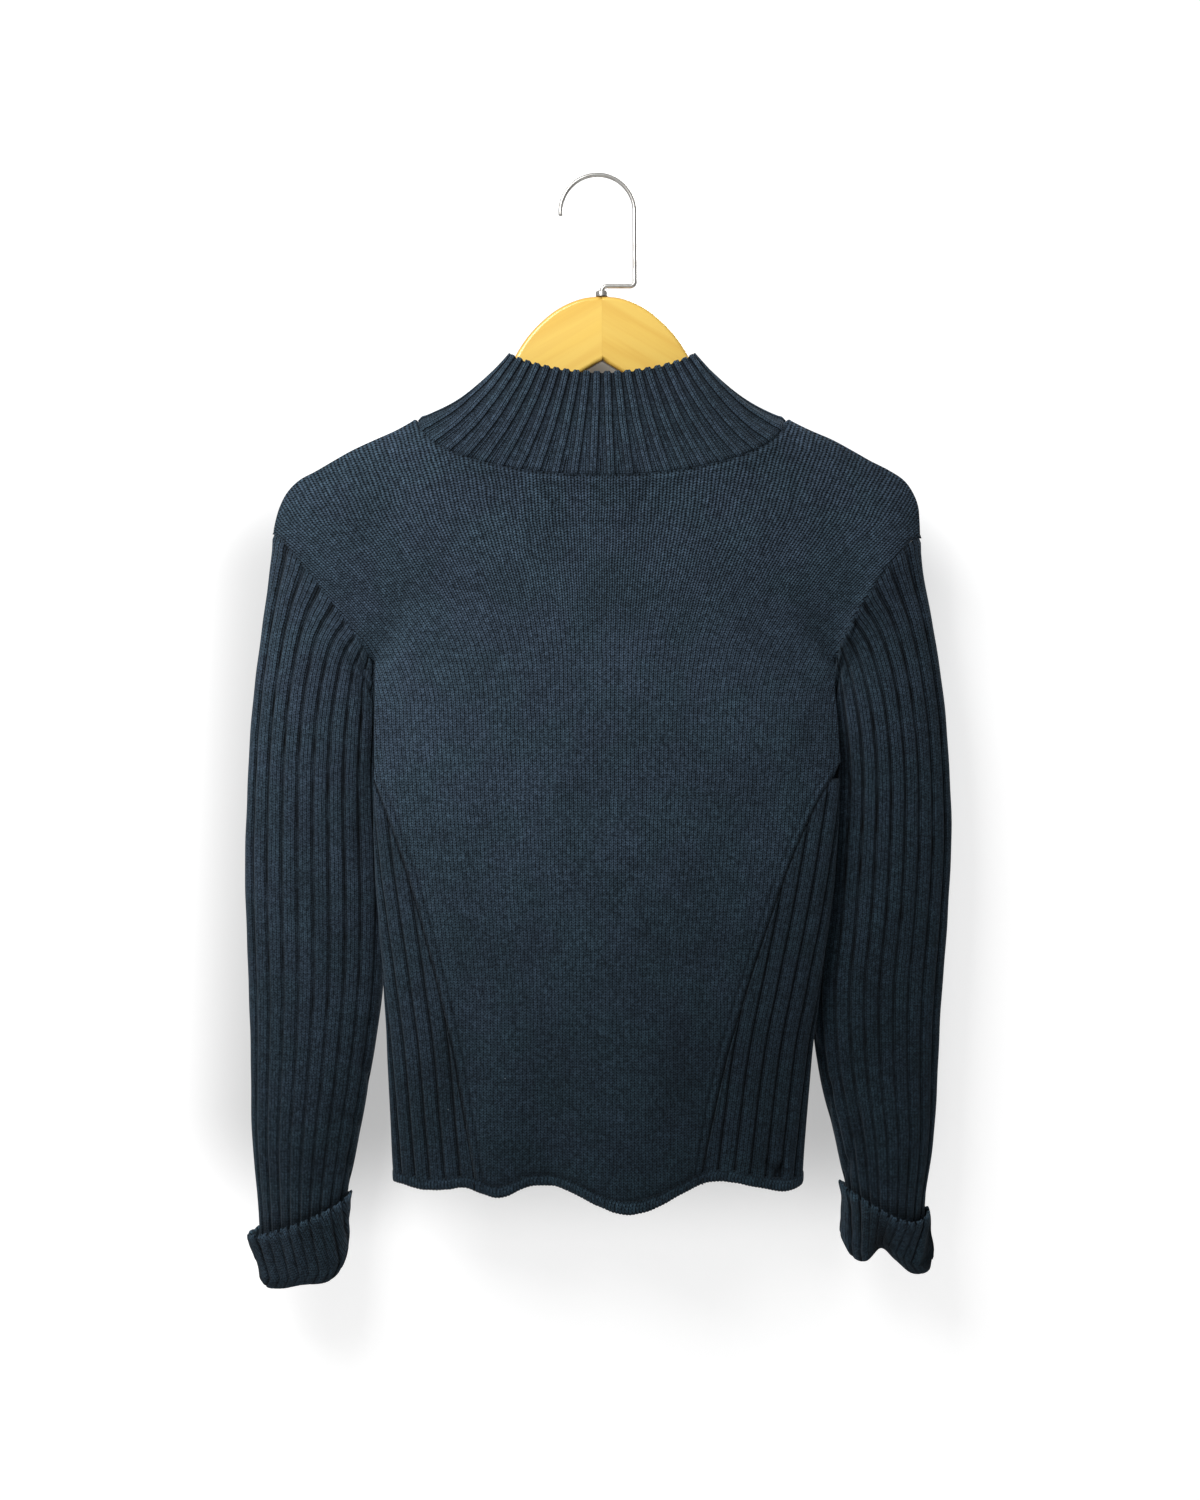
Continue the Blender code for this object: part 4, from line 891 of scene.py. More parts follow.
def add_sleeve(side, made_of):
    """A sleeve and its turned-up cuff as one folded wall."""
    places = (np.arange(SLEEVE_RIBS)[:, None] + RIB_STOPS).ravel()
    shares = places / SLEEVE_RIBS
    rows, stitches, shade = [], [], []

    def add_row(turn, runs, relief, tone, course, shift, level=False):
        way = sleeve_way(turn, runs, side, level)
        rows.append(sleeve_point(turn, runs, side) + relief[:, None] * way)
        rib = np.append(places, SLEEVE_RIBS) - np.append(shift, shift[0]) * SLEEVE_RIBS
        course = np.append(course, course[0]) / COURSE
        stitches.append(np.stack([rib * RIB_WALES + MID_STITCH, course], axis=-1))
        shade.append(tone)

    def ring(run, inside=False, to_rim=0.0):
        fan_out = RIB_FAN * np.sin(2 * np.pi * shares) * bell(run, RIB_FAN_RUN, RIB_FAN_POWER)
        turn = ring_turns(run, side, shares + fan_out)
        rim = LEVEL_RUN - LEVEL_DOWN + cuff_size("rim_down", turn, side)
        runs = run + (rim - run) * to_rim
        none = np.zeros_like(turn)
        if inside:
            add_row(turn, runs, none - RIBBED_WALL, none + 1, runs, none)
            return
        point = sleeve_point(turn, runs, side)
        height = rib_height(places, SLEEVE_PERIOD, SLEEVE_GROOVE)
        worn = 1 - WORN * smooth_step(np.clip((run - WORN_FROM) / WORN_RUN, 0, 1))
        start = min(1, RIB_START + run / RIB_START_RUN) * worn
        crown = SLEEVE_CROWN * np.sin(np.pi * (places % 1))
        pressed = pressed_in(SLEEVE_CREASE_ROWS, side, np.degrees(turn), runs, DEGREE)
        relief = crown - SLEEVE_RIB * (1 - height) * start + seam_dip(run) + unevenness(point, "sleeve")
        dark = SLEEVE_DARK + unevenness(point, "sleeve's grooves")
        tone = (1 - GROOVE_SHADE * worn * dark * (1 - height)) * seam_shade(run, SOFT_SEAM)
        tone = tone * (1 - RIM_SHADOW * bell(rim - runs, RIM_SHADOW_WIDTH))
        tone = tone * (1 - SLEEVE_CREASE * np.clip(pressed, 0, DEEPEST))
        add_row(turn, runs, relief - pressed, tone, runs, none)

    def cuff_ring(level, out, turned_up, ribbed):
        whole, outer_side = CUFF_LEAN[side]
        lean = (whole + outer_side * np.cos(2 * np.pi * shares)) * np.clip(level, 0, 1) * turned_up
        turn = ring_turns(LEVEL_RUN, side, shares + lean)
        rim, fold, flare, push = (cuff_size(name, turn, side) for name in CUFF_COLUMNS[1:])
        groove = CUFF_GROOVES[np.round(places).astype(int)]
        height = 1 - groove * (1 - rib_height(places, CUFF_PERIOD, CUFF_GROOVE))
        rim_wave = RIM_WAVE * (rib_height(places, CUFF_PERIOD, RIM_GROOVE) - RIM_WAVE_MIDDLE)
        rim_wave = rim_wave - RIM_DOUBLE_WAVE * np.cos(4 * np.pi * places)
        scallop = rim_wave * np.clip(1 - level * 4, 0, 1) * turned_up
        runs = LEVEL_RUN - LEVEL_DOWN + rim + (fold - rim) * level - scallop
        point = sleeve_point(turn, runs, side)
        push = push * max(level, 0) ** PUSH_POWER
        reach = out + flare * (1 - level) * turned_up + push
        relief = reach + unevenness(point, "cuff") * ribbed - CUFF_RIB * (1 - height) * ribbed
        course = fold + (fold - rim) * (1 - level) if turned_up > 0.5 else runs
        dark = CUFF_DARK + unevenness(point, "cuff's grooves")
        tone = 1 - GROOVE_SHADE * dark * (1 - height) * min(1, max(out, 0) / GROOVE_OUT)
        tone = tone * (1 + RIM_LIGHT * bell(level, RIM_LIGHT_WIDTH) * turned_up)
        tone = tone * (1 - PUSH_CREASE * np.clip(-push, 0, DEEPEST))
        tone = tone * (INSIDE_TONE if out <= INSIDE_OUT else 1)
        add_row(turn, runs, relief, tone, course, lean, level=True)

    for run in SLEEVE_RUNS:
        ring(run)
    for to_rim in TO_RIM:
        ring(SLEEVE_END, to_rim=to_rim)
    for line in cuff_lines():
        cuff_ring(*line)
    for run in INSIDE_RUNS:
        ring(run, inside=True)
    arrays = (np.array(rows), np.array(stitches), np.array(shade))
    return add_cloth(f"rib_sleeve_{SIDE_NAME[side]}", *arrays, made_of, ring=True)


COLLAR_CORD = (2.9, 2.5)  # half the width of a raised cord, at the seam and at the top
CORD_DENT, CORD_DENT_WIDTH = 0.15, 0.5  # along the middle of a cord
COLLAR_STEPS = 14  # columns of points to a rib
COLLAR_LEVELS = np.concatenate([np.linspace(0, 0.1, 7)[:-1], np.linspace(0.1, 1, 34)])
COLLAR_TURNS = np.linspace(-QUARTER, 3 * QUARTER, 1441)
COLLAR_WALE_WIDTH = 2.8
COLLAR_LIFTS = ((-0.3, 0.5), (-0.9, 0.9), (-1.6, 1.0), (-2.3, 0.8))  # in from the outside, and up
RIM_SCALLOP = 0.9  # how far the rim rises and falls over its cords
RIM_NARROWED = (0.6, 0.6, 1)  # the share of the wall's width left just inside the rim
CORD_EDGE, CORD_EDGE_AWAY, CORD_EDGE_WIDTH = 0.66, 1.12, 0.75  # the line of painted shade beside a cord
VALLEY, VALLEY_RISE, VALLEY_WIDTH = 0.12, 0.35, 1.2  # the light lost between cords, more toward the top


def add_collar(made_of):
    """The tall ribbed collar, whose ends meet at the centre front."""
    steps = np.arange(COLLAR_RIBS)[:, None] + np.linspace(0, 1, COLLAR_STEPS, endpoint=False)
    places = np.append(steps.ravel(), COLLAR_RIBS)
    half_gap = SEAM_GAP / 2 / COLLAR_TOP_HALF_WIDTH
    turns = []
    for level in COLLAR_LEVELS:
        turn = even_turns(
            lambda turns: collar_point(turns, np.full_like(turns, level)), COLLAR_TURNS, places / COLLAR_RIBS
        )
        turn[[0, -1]] += half_gap, -half_gap
        turns.append(turn)
    turn = np.array(turns)
    level = COLLAR_LEVELS[:, None]
    rise = np.broadcast_to(level, turn.shape)
    points = collar_point(turn, rise)
    normal = grid_normals(points, np.stack([np.cos(turn), np.sin(turn), 0 * turn], axis=-1))
    period = gaps_along(points, 1)[:, -1:] / COLLAR_RIBS
    from_seam = gaps_along(points, 0)
    cord = COLLAR_CORD[0] + (COLLAR_CORD[1] - COLLAR_CORD[0]) * level
    from_top = np.abs(places % 1 - 0.5) * period
    height = bell(from_top, cord, 6) * (1 - CORD_DENT * bell(from_top, CORD_DENT_WIDTH))
    relief = -COLLAR_RIB * (1 - height) + seam_dip(from_seam) + unevenness(points, "collar")
    outer = points + relief[..., None] * normal
    outer[..., 2] += RIM_SCALLOP * (height - 0.5) * np.clip(rise * 8 - 7, 0, 1)
    top, way, lift = outer[-1], normal[-1], 0.3 + 0.7 * height[-1][:, None]
    rim = np.array([top + inward * way + np.array((0, 0, 1)) * up * lift for inward, up in COLLAR_LIFTS])
    inner = points - RIBBED_WALL * normal
    inner[-1] = rim[-1] + (inner[-1] - rim[-1]) * RIM_NARROWED
    wales = np.floor(places) * RIB_WALES + (places % 1 - 0.5) * period / COLLAR_WALE_WIDTH
    wales[:, -1] = wales[:, -2]
    stitches = np.stack([wales, from_seam / COURSE], axis=-1)
    edge = CORD_EDGE * bell(from_top - cord * CORD_EDGE_AWAY, CORD_EDGE_WIDTH)
    valley = np.clip((from_top - cord) / VALLEY_WIDTH, 0, 1) * (VALLEY + VALLEY_RISE * level)
    shade = (1 - edge - valley) * seam_shade(from_seam, SOFT_SEAM)
    rows = two_sided(np.concatenate([outer, rim]), inner, stitches, shade)
    return add_cloth("rib_collar", *rows, made_of)


BAND_WALE = 2.6
BAND_BUMP, BAND_BUMP_MIDDLE = 1.2, 0.6  # how far the stitches scallop its lower edge
BAND_TONE = (0.9, 0.9)  # its light on the whole, and more on a stitch
BAND_STEPS = 260  # columns of points to a quarter
# The hem band's section: place from its top (0) to its lower edge (1), distance out and shade
BAND_LINES = (
    (0.0, 0.1, 0.25), (0.08, 0.6, 0.8), (0.25, 1.0, 1.5), (0.5, 1.1, 1.35), (0.75, 1.0, 1.15),
    (0.93, 0.5, 0.9), (1.0, -0.4, 0.7), (1.0, -1.2, 0.6), (0.97, -2.0, 0.8), (0.8, -2.4, 1),
    (0.5, -2.4, 1), (0.2, -2.4, 1), (0.0, -2.2, 1), (-0.02, -0.8, 1),
)
BAND_END = 0.0025  # radians from centre front to each end of the band
BAND_QUARTERS = (  # side, face, and the angles that its quarter runs between
    (LEFT, FRONT, QUARTER - BAND_END, 0),
    (LEFT, BACK, 0, QUARTER),
    (RIGHT, BACK, QUARTER, 0),
    (RIGHT, FRONT, 0, QUARTER - BAND_END),
)


def add_hem_band(made_of):
    """The narrow rolled band along the lower edge, from centre front round to centre front."""
    quarters = []
    for side, face, first, last in BAND_QUARTERS:
        angle = np.linspace(first, last, BAND_STEPS)[1 if quarters else 0 :]
        outward = np.stack([side * np.cos(angle), face * np.sin(angle), angle * 0], axis=-1)
        rows = []
        for level, out, _ in BAND_LINES:
            down = np.full_like(angle, HEM - BAND_HEIGHT + BAND_HEIGHT * level)
            point = body_point(angle, down, side, face)
            way = facing(unit(np.cross(np.gradient(point, axis=0) * (1, 1, 0), (0, 0, 1))), outward)
            rows.append(point + out * BAND_RAISE * way)
        quarters.append(np.array(rows))
    points = np.concatenate(quarters, axis=1)
    level, _, tone = np.array(BAND_LINES).T[..., None]
    run = gaps_along(points, 1)
    bumps = np.abs(np.sin(np.pi * run / BAND_WALE)) - BAND_BUMP_MIDDLE
    points[..., 2] += unevenness(points, "hem") - BAND_BUMP * bumps * level
    stitches = np.stack([run / BAND_WALE, level * BAND_HEIGHT / COURSE + 0 * run], axis=-1)
    shade = tone * (BAND_TONE[0] + BAND_TONE[1] * bumps)
    return add_cloth("hem_roll", points, stitches, shade, made_of)


# ---- hanger ----

BOARD_ROUNDING, JOINT_ROUNDING = 3.4, 0.01  # of its edges, and the share of it at the joint
WIRE_SIDES, FERRULE_STEPS = 20, 48
WIRE_TIP = ((0.5, 1.5), (0.9, 1.2), (1.15, 0.7))  # its rounded end: how far past the wire, and radius
SPLIT_HALF_ANGLE, SPLIT_PLACE = 0.09, 0.7 * QUARTER


def add_board(made_of):
    """The board in two halves that meet at the centre, with rounded edges."""
    side_line = [along(s, BOARD_TOP) for s in np.linspace(0, 1, 60)]
    low_line = [along(s, (*BOARD_UNDERSIDE, BOARD_NOTCH)) for s in np.linspace(0, 1, 40)]
    outline = [*side_line, *BOARD_END, *low_line]
    count = len(outline)
    mesh = bpy.data.meshes.new("hanger_board")
    shape = bmesh.new()
    weight = shape.edges.layers.float.new("bevel_weight_edge")
    for side in (LEFT, RIGHT):
        near, far = (
            [shape.verts.new((side * x * MM, y * MM, -down * MM)) for x, down in outline]
            for y in (BOARD_THICKNESS / 2, -BOARD_THICKNESS / 2)
        )
        shape.faces.new(near)
        shape.faces.new(far[::-1])
        for i in range(count):
            k = (i + 1) % count
            shape.faces.new((near[i], far[i], far[k], near[k]))
            for ring in (near, far):
                edge = shape.edges.get((ring[i], ring[k]))
                edge[weight] = 1.0 if k else JOINT_ROUNDING
    shape.to_mesh(mesh)
    shape.free()
    made = add_mesh(mesh, made_of)
    bevel = made.modifiers.new("rounded edges", "BEVEL")
    bevel.width = BOARD_ROUNDING * MM
    bevel.segments = 4
    bevel.limit_method = "WEIGHT"
    bevel.harden_normals = True
    return made


def arc(centre_x, centre_z, radius, first, last, count):
    """Points of an arc in the hanger's plane, between two angles in degrees."""
    turns = np.radians(np.linspace(first, last, count))
    return [(centre_x + radius * math.cos(a), centre_z + radius * math.sin(a)) for a in turns]


def hook_route():
    """The wire's centre line: out of the ferrule, aside, up, and over into the hook."""
    low = -HOOK_FOOT_DOWN - HOOK_BEND
    route = [(0.0, 2 * SEAM_GAP - BOARD_TOP[0][1])]
    route += arc(-HOOK_BEND, low, HOOK_BEND, 0, 90, 10)
    route += arc(HOOK_STEM_X + HOOK_BEND, -HOOK_FOOT_DOWN + HOOK_BEND, HOOK_BEND, 270, 180, 10)
    route += arc(HOOK_CENTRE_X, HOOK_WIRE / 2 - HOOK_RADIUS, HOOK_RADIUS, 176, -4, 60)
    return route


def add_metal(name, rows, made_of):
    """A bar of metal from rows of points that close round, with a face at either end."""
    count, columns = rows.shape[:2]
    ids = np.arange(count * columns).reshape(count, columns)
    beside = np.roll(ids, -1, axis=1)
    faces = np.stack([ids[:-1], beside[:-1], beside[1:], ids[1:]], axis=-1).reshape(-1, 4).tolist()
    faces += [ids[0][::-1].tolist(), ids[-1].tolist()]
    mesh = bpy.data.meshes.new(name)
    mesh.from_pydata((rows.reshape(-1, 3) * MM).tolist(), [], faces)
    return add_mesh(mesh, made_of, METAL_EDGE)


def add_wire(made_of):
    """The wire hook, bent from one length of round wire with a rounded end."""
    route = np.array([(x, 0.0, z) for x, z in hook_route()])
    ways = unit(np.gradient(route, axis=0))
    stops = [(centre, way, HOOK_WIRE / 2) for centre, way in zip(route, ways)]
    stops += [(route[-1] + ways[-1] * past, ways[-1], radius) for past, radius in WIRE_TIP]
    beside = np.array((0.0, 1.0, 0.0))
    turns = np.linspace(0, 2 * np.pi, WIRE_SIDES, endpoint=False)
    rows = []
    for centre, way, radius in stops:
        other = np.cross(way, beside)
        rows.append([centre + radius * (math.cos(a) * beside + math.sin(a) * other) for a in turns])
    return add_metal("wire_hook", np.array(rows), made_of)


def add_split_collar(made_of):
    """The small ring that the wire leaves the board through, split down one side."""
    low = SEAM_GAP - BOARD_TOP[0][1]
    high = low + FERRULE_HEIGHT
    section = (
        (FERRULE_RADIUS, low), (FERRULE_RADIUS, high - 1.0), (FERRULE_RADIUS - 0.25, high - 0.4),
        (FERRULE_RADIUS - 0.9, high), (FERRULE_BORE, high), (FERRULE_BORE, low),
    )
    turns = np.linspace(SPLIT_HALF_ANGLE, 2 * np.pi - SPLIT_HALF_ANGLE, FERRULE_STEPS) + SPLIT_PLACE
    rows = np.array([[(r * np.cos(a), r * np.sin(a), z) for r, z in section] for a in turns])
    return add_metal("split_ring", rows, made_of)


# ---- materials ----


class Value:
    """A number or colour in a material, reckoned with like a number."""

    def __init__(self, nodes, socket):
        self.nodes, self.socket = nodes, socket

    def __add__(self, other):
        return self.nodes.math("ADD", self, other)

    def __sub__(self, other):
        return self.nodes.math("SUBTRACT", self, other)

    def __mul__(self, other):
        return self.nodes.math("MULTIPLY", self, other)

    def __abs__(self):
        return self.nodes.math("ABSOLUTE", self)


class Nodes:
    """Short calls that add nodes to one material. What they take is a number, a colour or a Value."""

    def __init__(self, name):
        self.material = bpy.data.materials.new(name)
        self.material.use_nodes = True
        self.tree = self.material.node_tree
        self.shader = self.tree.nodes["Principled BSDF"]

    def put(self, socket, value):
        if isinstance(value, Value):
            self.tree.links.new(value.socket, socket)
        else:
            socket.default_value = value

    def add(self, kind, given, taken=0, **settings):
        """A node with these settings and inputs. taken says which of its outputs is wanted."""
        node = self.tree.nodes.new(f"ShaderNode{kind}")
        for name, value in settings.items():
            setattr(node, name, value)
        for socket, value in given.items():
            self.put(node.inputs[socket], value)
        return Value(self, node.outputs[taken])

    def math(self, operation, *values):
        return self.add("Math", dict(enumerate(values)), operation=operation)

    def fade(self, value, low, high, to_low=0.0, to_high=1.0):
        """A value's smooth way from low to high, turned to another range."""
        given = dict(enumerate((value, low, high, to_low, to_high)))
        return self.add("MapRange", given, interpolation_type="SMOOTHSTEP")

    def blend(self, share, first, second):
        """A number between two others."""
        return self.add("Mix", {0: share, 2: first, 3: second})

    def mix(self, share, first, second):
        """A colour between two others."""
        return self.add("Mix", {0: share, 6: first, 7: second}, 2, data_type="RGBA")

    def tint(self, colour, other):
        """Two colours multiplied."""
        return self.add("VectorMath", {0: colour, 1: other}, operation="MULTIPLY")

    def scale(self, colour, factor):
        return self.add("VectorMath", {0: colour, 3: factor}, operation="SCALE")

    def split(self, vector):
        node = self.add("SeparateXYZ", {0: vector}).socket.node
        return [Value(self, socket) for socket in node.outputs]

    def join(self, x, y, z):
        return self.add("CombineXYZ", {0: x, 1: y, 2: z})

    def uv(self, name):
        return self.split(self.add("UVMap", {}, uv_map=name))

    def place(self):
        return self.add("TexCoord", {}, "Object")

    def attribute(self, name):
        return self.add("Attribute", {}, "Fac", attribute_name=name)

    def noise(self, where, scale, detail=2.0):
        return self.add("TexNoise", {"Vector": where, "Scale": scale, "Detail": detail}, "Fac")

    def specks(self, where, scale, size, rarity):
        """Small scattered spots, 1 inside a spot."""
        distance = self.add("TexVoronoi", {"Vector": where, "Scale": scale}, "Distance")
        colour = Value(self, distance.socket.node.outputs["Color"])
        chosen = self.math("GREATER_THAN", self.split(colour)[0], rarity)
        return self.math("LESS_THAN", distance, size) * chosen

    def bump(self, height, distance, strength):
        return self.add("Bump", {"Height": height, "Distance": distance, "Strength": strength})

    def finish(self, **inputs):
        """The material, with these inputs of its shader set."""
        for name, value in inputs.items():
            self.put(self.shader.inputs[name.replace("_", " ")], value)
        return self.material


YARN = (0.0240, 0.0378, 0.0542, 1)  # the yarn's colour high on the jacket, in full light
# the yarn's colour with painted shade, low on the jacket and toward the right sleeve
YARN_IN_PAINTED_SHADE = (0.0097, 0.0180, 0.0258, 1)
YARN_PAINTED_SHADE_HEIGHTS = (-0.80, -0.23)  # the heights between which it turns to painted shade, on the centre line
PAINTED_SHADE_LEAN = 0.5  # how much sooner the painted shade comes toward the right sleeve
GREENER, REDDER = (0.97, 1.01, 0.985, 1), (1.03, 0.99, 1.015, 1)  # how the dye drifts from place to place
LINT = (0.22, 0.27, 0.31, 1)
LEG_LEAN = 1.2  # how steeply the two legs of a stitch lean together
WOBBLE_SCALE, WOBBLE = 55.0, 0.6  # how stitch columns wander, in their own width
FUZZ_SCALE, FUZZ_RELIEF, STITCH_RELIEF = 620.0, 0.5, 0.6 * MM
# Noise that darkens and lightens the yarn: its scale and detail, and the light at its two ends
YARN_NOISE = ((FUZZ_SCALE, 3.0, 0.55, 1.45), (22.0, 3.0, 0.89, 1.11), (210.0, 2.0, 0.8, 1.2))
DYE_NOISE, DYE_LOW, DYE_HIGH = (30.0, 4.0), 0.38, 0.62
LINT_SPECKS, LINT_SHARE = (70.0, 0.035, 0.93), 0.5  # their scale, size and rarity
# Heights between which stitches turn crisp, or their legs part, and how far they are at each
PLAIN_CRISP = (-0.66, -0.34, 0.6, 1.4)
RIB_CRISP = (-0.6, -0.16, 0.45, 1.0)
BAND_CRISP = (-0.745, -0.765, 0.0, 0.95)
LEGS_APART = (-0.36, -0.30, 0.25, 1.0)
RIB_LEGS_APART = 0.4
PLAIN_JOINED, RIB_JOINED = 0.35, 0.1  # the height left where stitches meet side by side
NOISE_LOW, NOISE_HIGH = 0.3, 0.7  # the range that noise keeps to
STITCH_LIGHT, STITCH_BASE, HOLE_LOSS = 1.95, 0.2, 1.5  # light on a stitch, beside it and in a hole
FELTED_LIGHT, LEAST_LIGHT = 0.95, 0.04
SHEEN = {"Sheen_Weight": 0.12, "Sheen_Roughness": 0.5, "Sheen_Tint": (0.55, 0.7, 0.85, 1)}


def stitch(nodes, wale, course, apart, joined):
    """One knit stitch: the height of its two legs, and the holes beside and between them."""
    off = abs(nodes.math("FRACT", wale) - 0.5)
    length = nodes.math("SINE", nodes.math("FRACT", off * LEG_LEAN + course) * math.pi)
    beside = nodes.fade(off, 0.5, 0.3, joined, 1.0)
    between = nodes.fade(off, 0.0, 0.2, nodes.blend(apart, 0.85, 0.4), 1.0)
    gap = nodes.math("MAXIMUM", nodes.fade(off, 0.28, 0.46), nodes.fade(off, 0.16, 0.02, 0.0, apart))
    return beside * between * (length * 0.5 + 0.5), gap * nodes.fade(length, 0.8, 0.25, 0.1, 1.0)


def knit(name, ribbed):
    """Navy knit: stitches that felt together toward the hem, or ribs whose grooves are darkened by painted
    shade; painted shade also darkens the yarn toward the hem and the right sleeve.
    """
    nodes = Nodes(name)
    where = nodes.place()
    x, _, z = nodes.split(where)
    u, v, _ = nodes.uv("Stitches")
    u = u + (nodes.noise(where, WOBBLE_SCALE) - 0.5) * WOBBLE
    if ribbed:
        height, hole = stitch(nodes, u, v, RIB_LEGS_APART, RIB_JOINED)
        crisp = nodes.math("MAXIMUM", nodes.fade(z, *RIB_CRISP), nodes.fade(z, *BAND_CRISP))
    else:
        height, hole = stitch(nodes, u, v, nodes.fade(z, *LEGS_APART), PLAIN_JOINED)
        crisp = nodes.fade(z, *PLAIN_CRISP)
    light = height * STITCH_LIGHT + STITCH_BASE - hole * HOLE_LOSS
    light = nodes.math("MAXIMUM", nodes.blend(crisp, FELTED_LIGHT, light), LEAST_LIGHT)
    for scale, detail, dark, bright in YARN_NOISE:
        light = light * nodes.fade(nodes.noise(where, scale, detail), NOISE_LOW, NOISE_HIGH, dark, bright)
    light = light * nodes.attribute("Shade")
    # painted shade: the yarn turns darker toward the hem and toward the right sleeve
    colour = nodes.mix(nodes.fade(x * PAINTED_SHADE_LEAN + z, *YARN_PAINTED_SHADE_HEIGHTS), YARN_IN_PAINTED_SHADE, YARN)
    dye = nodes.mix(nodes.fade(nodes.noise(where, *DYE_NOISE), DYE_LOW, DYE_HIGH), GREENER, REDDER)
    colour = nodes.tint(nodes.scale(colour, light), dye)
    lint = nodes.specks(where, *LINT_SPECKS) * LINT_SHARE
    relief = height * crisp + nodes.noise(where, FUZZ_SCALE, 3.0) * FUZZ_RELIEF
    return nodes.finish(
        Base_Color=nodes.mix(lint, colour, LINT), Roughness=0.95, Specular_IOR_Level=0.1,
        Normal=nodes.bump(relief, STITCH_RELIEF, 1.0), **SHEEN,
    )


WOOD, WOOD_STREAK, WOOD_BAND = (0.97, 0.64, 0.125, 1), (0.90, 0.55, 0.095, 1), (1.0, 0.70, 0.17, 1)
# the board's rounded edges, painted darker and more orange as painted shade
WOOD_EDGE_PAINTED_SHADE = (0.70, 0.36, 0.06, 1)
GRAIN_ALONG, GRAIN_ACROSS = (0.85, -0.5), (0.5, 0.85)  # the grain's way in a half: out and up
FINE, BANDS_ACROSS = (9.0, 150.0, 40.0), 30.0  # how closely fine grain and broad bands lie
HALF_APART = 3.0  # keeps the two halves' grain from matching


def pale_wood():
    """Lacquered pale wood: grain that slants down from the joint in each half, a faint joint line, and
    painted shade that darkens its rounded edges.
    """
    nodes = Nodes("lacquered pale wood")
    x, y, z = nodes.split(nodes.place())
    grain_along, grain_across = (abs(x) * out + z * up for out, up in (GRAIN_ALONG, GRAIN_ACROSS))
    half = nodes.math("SIGN", x) * HALF_APART
    stretched = nodes.join(grain_along * FINE[0], grain_across * FINE[1], y * FINE[2] + half)
    grain = nodes.noise(stretched, 1.0, 5.0)
    bands = nodes.noise(nodes.join(grain_along, grain_across * BANDS_ACROSS, half), 2.0, 2.0)
    colour = nodes.mix(nodes.fade(grain, 0.35, 0.7), WOOD, WOOD_STREAK)
    colour = nodes.mix(nodes.fade(bands, 0.35, 0.65, 0.0, 0.3), colour, WOOD_BAND)
    # painted shade on the rounded edges, away from the flat faces
    colour = nodes.mix(nodes.fade(abs(y), 0.0030, 0.0049), WOOD_EDGE_PAINTED_SHADE, colour)
    joint = nodes.fade(x, -0.0004, 0.0004, 0.95, 1.0)
    return nodes.finish(
        Base_Color=nodes.scale(colour, joint), Roughness=0.38, Normal=nodes.bump(grain, 0.15 * MM, 0.25),
        Coat_Weight=0.5, Coat_Roughness=0.12,
    )


STEEL, TARNISH = (0.66, 0.65, 0.62, 1), (0.48, 0.46, 0.43, 1)


def bright_steel():
    """Bright drawn wire: a fine grain and a little tarnish."""
    nodes = Nodes("bright drawn steel")
    where = nodes.place()
    cloud = nodes.noise(where, 160.0, 3.0)
    return nodes.finish(
        Base_Color=nodes.mix(nodes.fade(cloud, 0.35, 0.75), STEEL, TARNISH),
        Roughness=nodes.fade(cloud, 0.3, 0.8, 0.3, 0.42),
        Normal=nodes.bump(nodes.noise(where, 1400.0, 2.0), 0.05 * MM, 0.2), Metallic=0.85,
    )


# ---- stage ----

STAGE_SPAN, FLOOR_Z = 4.0, -1.35
WALL_SPAN, WALL_Y, WALL_TOP = 3.0, -0.062, 1.6
WALL_LIGHT, WALL_PAINT = 0.68, 0.6  # how much the wall glows, and how much of the room's light it takes
SHADOW_CENTRE_DOWN = 0.142  # of the shade in the board's notch
SHADOW, LIT_SHADOW = (0.03, 0.024, 0.018, 1), (0.2, 0.195, 0.19, 1)
HALF_SHADOW, NO_SHADOW = (0.8, 0.8, 0.8, 1), (1, 1, 1, 1)
CLOTH_X, CLOTH_Z, CLOTH_REACH = 0.04, -0.5, 0.2  # the square of full shade behind the cloth


def add_sheet_of_stage(name, corners, made_of):
    mesh = bpy.data.meshes.new(name)
    mesh.from_pydata(corners, [], [(0, 1, 2, 3)])
    made = add_object(mesh, made_of)
    return made


def wall_glow(nodes):
    """The wall's brightness: full, but for soft shade in the board's notch and beside the cloth."""
    x, _, z = nodes.split(nodes.place())
    up = z + SHADOW_CENTRE_DOWN
    from_board = nodes.math("SQRT", x * x + up * up)
    glow = nodes.mix(nodes.fade(x, -0.025, 0.025), LIT_SHADOW, SHADOW)
    glow = nodes.mix(nodes.fade(from_board, 0.008, 0.048), glow, HALF_SHADOW)
    glow = nodes.mix(nodes.fade(from_board, 0.03, 0.1), glow, NO_SHADOW)
    beside, above = (
        nodes.math("MAXIMUM", abs(place - middle) - CLOTH_REACH, 0)
        for place, middle in ((x, CLOTH_X), (z, CLOTH_Z))
    )
    from_cloth = nodes.math("SQRT", above * above + beside * beside)
    return nodes.scale(glow, nodes.fade(from_cloth, 0.02, 0.12, 0.6, 1.0))


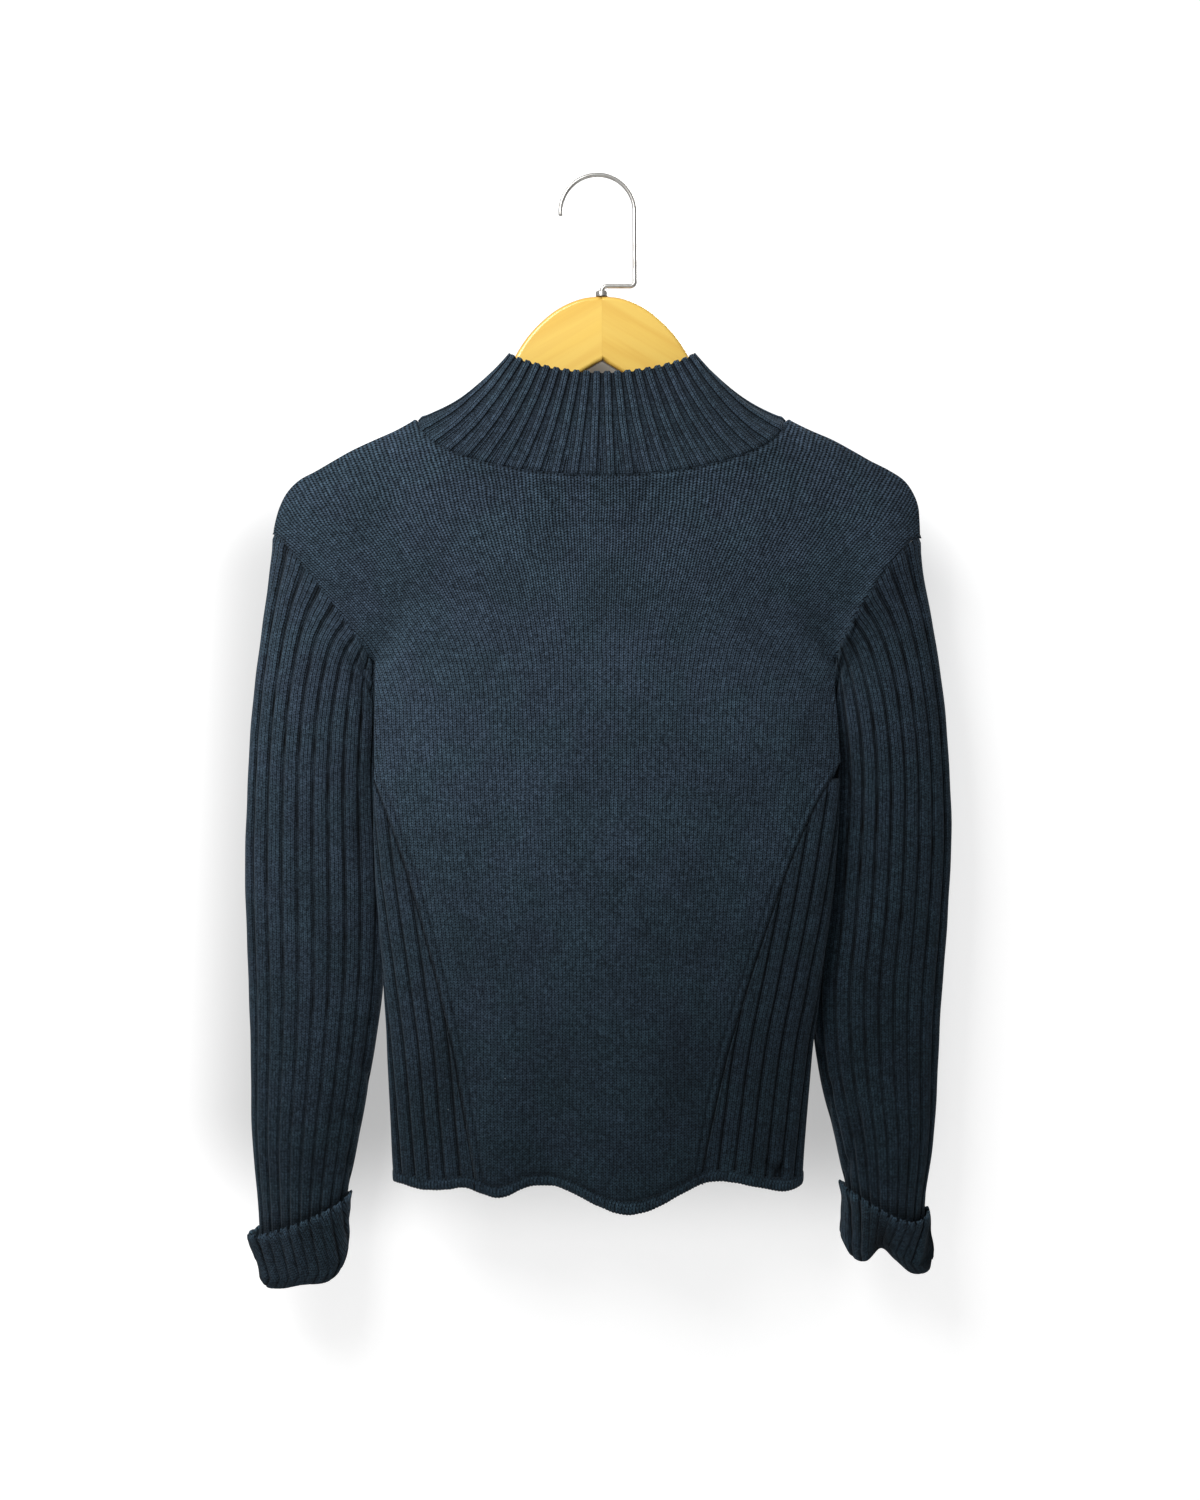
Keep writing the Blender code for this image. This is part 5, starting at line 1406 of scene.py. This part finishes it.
def add_stage():
    """A pale floor, and a pale wall close behind that shows only from its own side."""
    paint = Nodes("pale studio paint").finish(Base_Color=(0.9, 0.9, 0.9, 1), Roughness=0.9)
    reach, low = STAGE_SPAN, FLOOR_Z
    floor = [(-reach, -reach, low), (reach, -reach, low), (reach, reach, low), (-reach, reach, low)]
    add_sheet_of_stage("floor", floor, paint)
    nodes = Nodes("pale wall")
    glow = wall_glow(nodes)
    nodes.finish(
        Emission_Color=glow, Emission_Strength=WALL_LIGHT, Base_Color=nodes.scale(glow, WALL_PAINT)
    )
    clear = nodes.add("BsdfTransparent", {})
    behind = nodes.add("NewGeometry", {}, "Backfacing")
    one_sided = nodes.add("MixShader", {0: behind, 1: Value(nodes, nodes.shader.outputs[0]), 2: clear})
    nodes.put(nodes.tree.nodes["Material Output"].inputs[0], one_sided)
    corners = [(WALL_SPAN, low), (-WALL_SPAN, low), (-WALL_SPAN, WALL_TOP), (WALL_SPAN, WALL_TOP)]
    wall = add_sheet_of_stage("wall", [(x, WALL_Y, z) for x, z in corners], nodes.material)
    wall.visible_shadow = wall.visible_diffuse = wall.visible_glossy = False


LIGHT_SIZE, LIGHT_POWER, ROOM_LIGHT = 0.8, 20.5, 0.22


def add_area_light(name, place, aim):
    light = bpy.data.lights.new(name, "AREA")
    light.size = LIGHT_SIZE
    light.energy = LIGHT_POWER
    made = bpy.data.objects.new(name, light)
    made.location = place
    way = np.array(aim) - np.array(place)
    made.rotation_euler = (
        math.acos(-way[2] / np.linalg.norm(way)), 0, math.atan2(way[1], way[0]) - math.pi / 2
    )
    bpy.context.scene.collection.objects.link(made)


def add_lights():
    add_area_light("key", (0.65, 0.9, 0.5), (0.05, 0, -0.35))
    add_area_light("front key", (-0.65, -0.9, 0.5), (-0.05, 0, -0.35))
    world = bpy.data.worlds.new("studio")
    world.use_nodes = True
    world.node_tree.nodes["Background"].inputs[0].default_value = (1, 1, 1, 1)
    world.node_tree.nodes["Background"].inputs[1].default_value = ROOM_LIGHT
    bpy.context.scene.world = world


CAMERA_PLACE = (1.5, 1600.0, -429.75)
VIEW_HEIGHT, SENSOR = 1125.0, 36  # the view's height at the hanger's plane, and the sensor's


def add_camera():
    """A camera square on to the back."""
    lens = bpy.data.cameras.new("camera")
    lens.sensor_fit = "VERTICAL"
    lens.sensor_height = SENSOR
    lens.lens = SENSOR * CAMERA_PLACE[1] / VIEW_HEIGHT
    camera = bpy.data.objects.new("camera", lens)
    camera.location = [size * MM for size in CAMERA_PLACE]
    camera.rotation_euler = (QUARTER, 0, math.pi)
    bpy.context.scene.collection.objects.link(camera)
    bpy.context.scene.camera = camera


# ---- the whole ----


def declare(piece, nodes):
    """Says which solids a piece of cloth replaces."""
    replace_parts(piece, *nodes)


def build():
    add_camera()
    plain_knit, rib_knit = knit("plain navy knit", False), knit("ribbed navy knit", True)
    steel = bright_steel()
    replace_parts(add_board(pale_wood()), "hanger")
    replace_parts(add_wire(steel), "hanger_hook")
    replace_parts(add_split_collar(steel), "ferrule")
    halves = {(side, face): half_grid(side, face) for side in SIDE_NAME for face in FACE_NAME}
    back = np.concatenate([halves[RIGHT, BACK][:, :0:-1], halves[LEFT, BACK]], axis=1)
    declare(add_panel("knit_back", back, BACK, plain_knit), ["back"])
    for side, name in SIDE_NAME.items():
        front = add_panel(f"knit_front_{name}", halves[side, FRONT], FRONT, plain_knit)
        declare(front, [f"front_{name}"])
        declare(add_side_panel(side, rib_knit), [f"side_panel_{name}"])
        declare(add_sleeve(side, rib_knit), [f"sleeve_{name}"])
    declare(add_collar(rib_knit), ["collar"])
    declare(add_hem_band(rib_knit), ["hem_band"])
    add_stage()
    add_lights()
    bpy.context.scene.view_settings.view_transform = "Standard"


build()
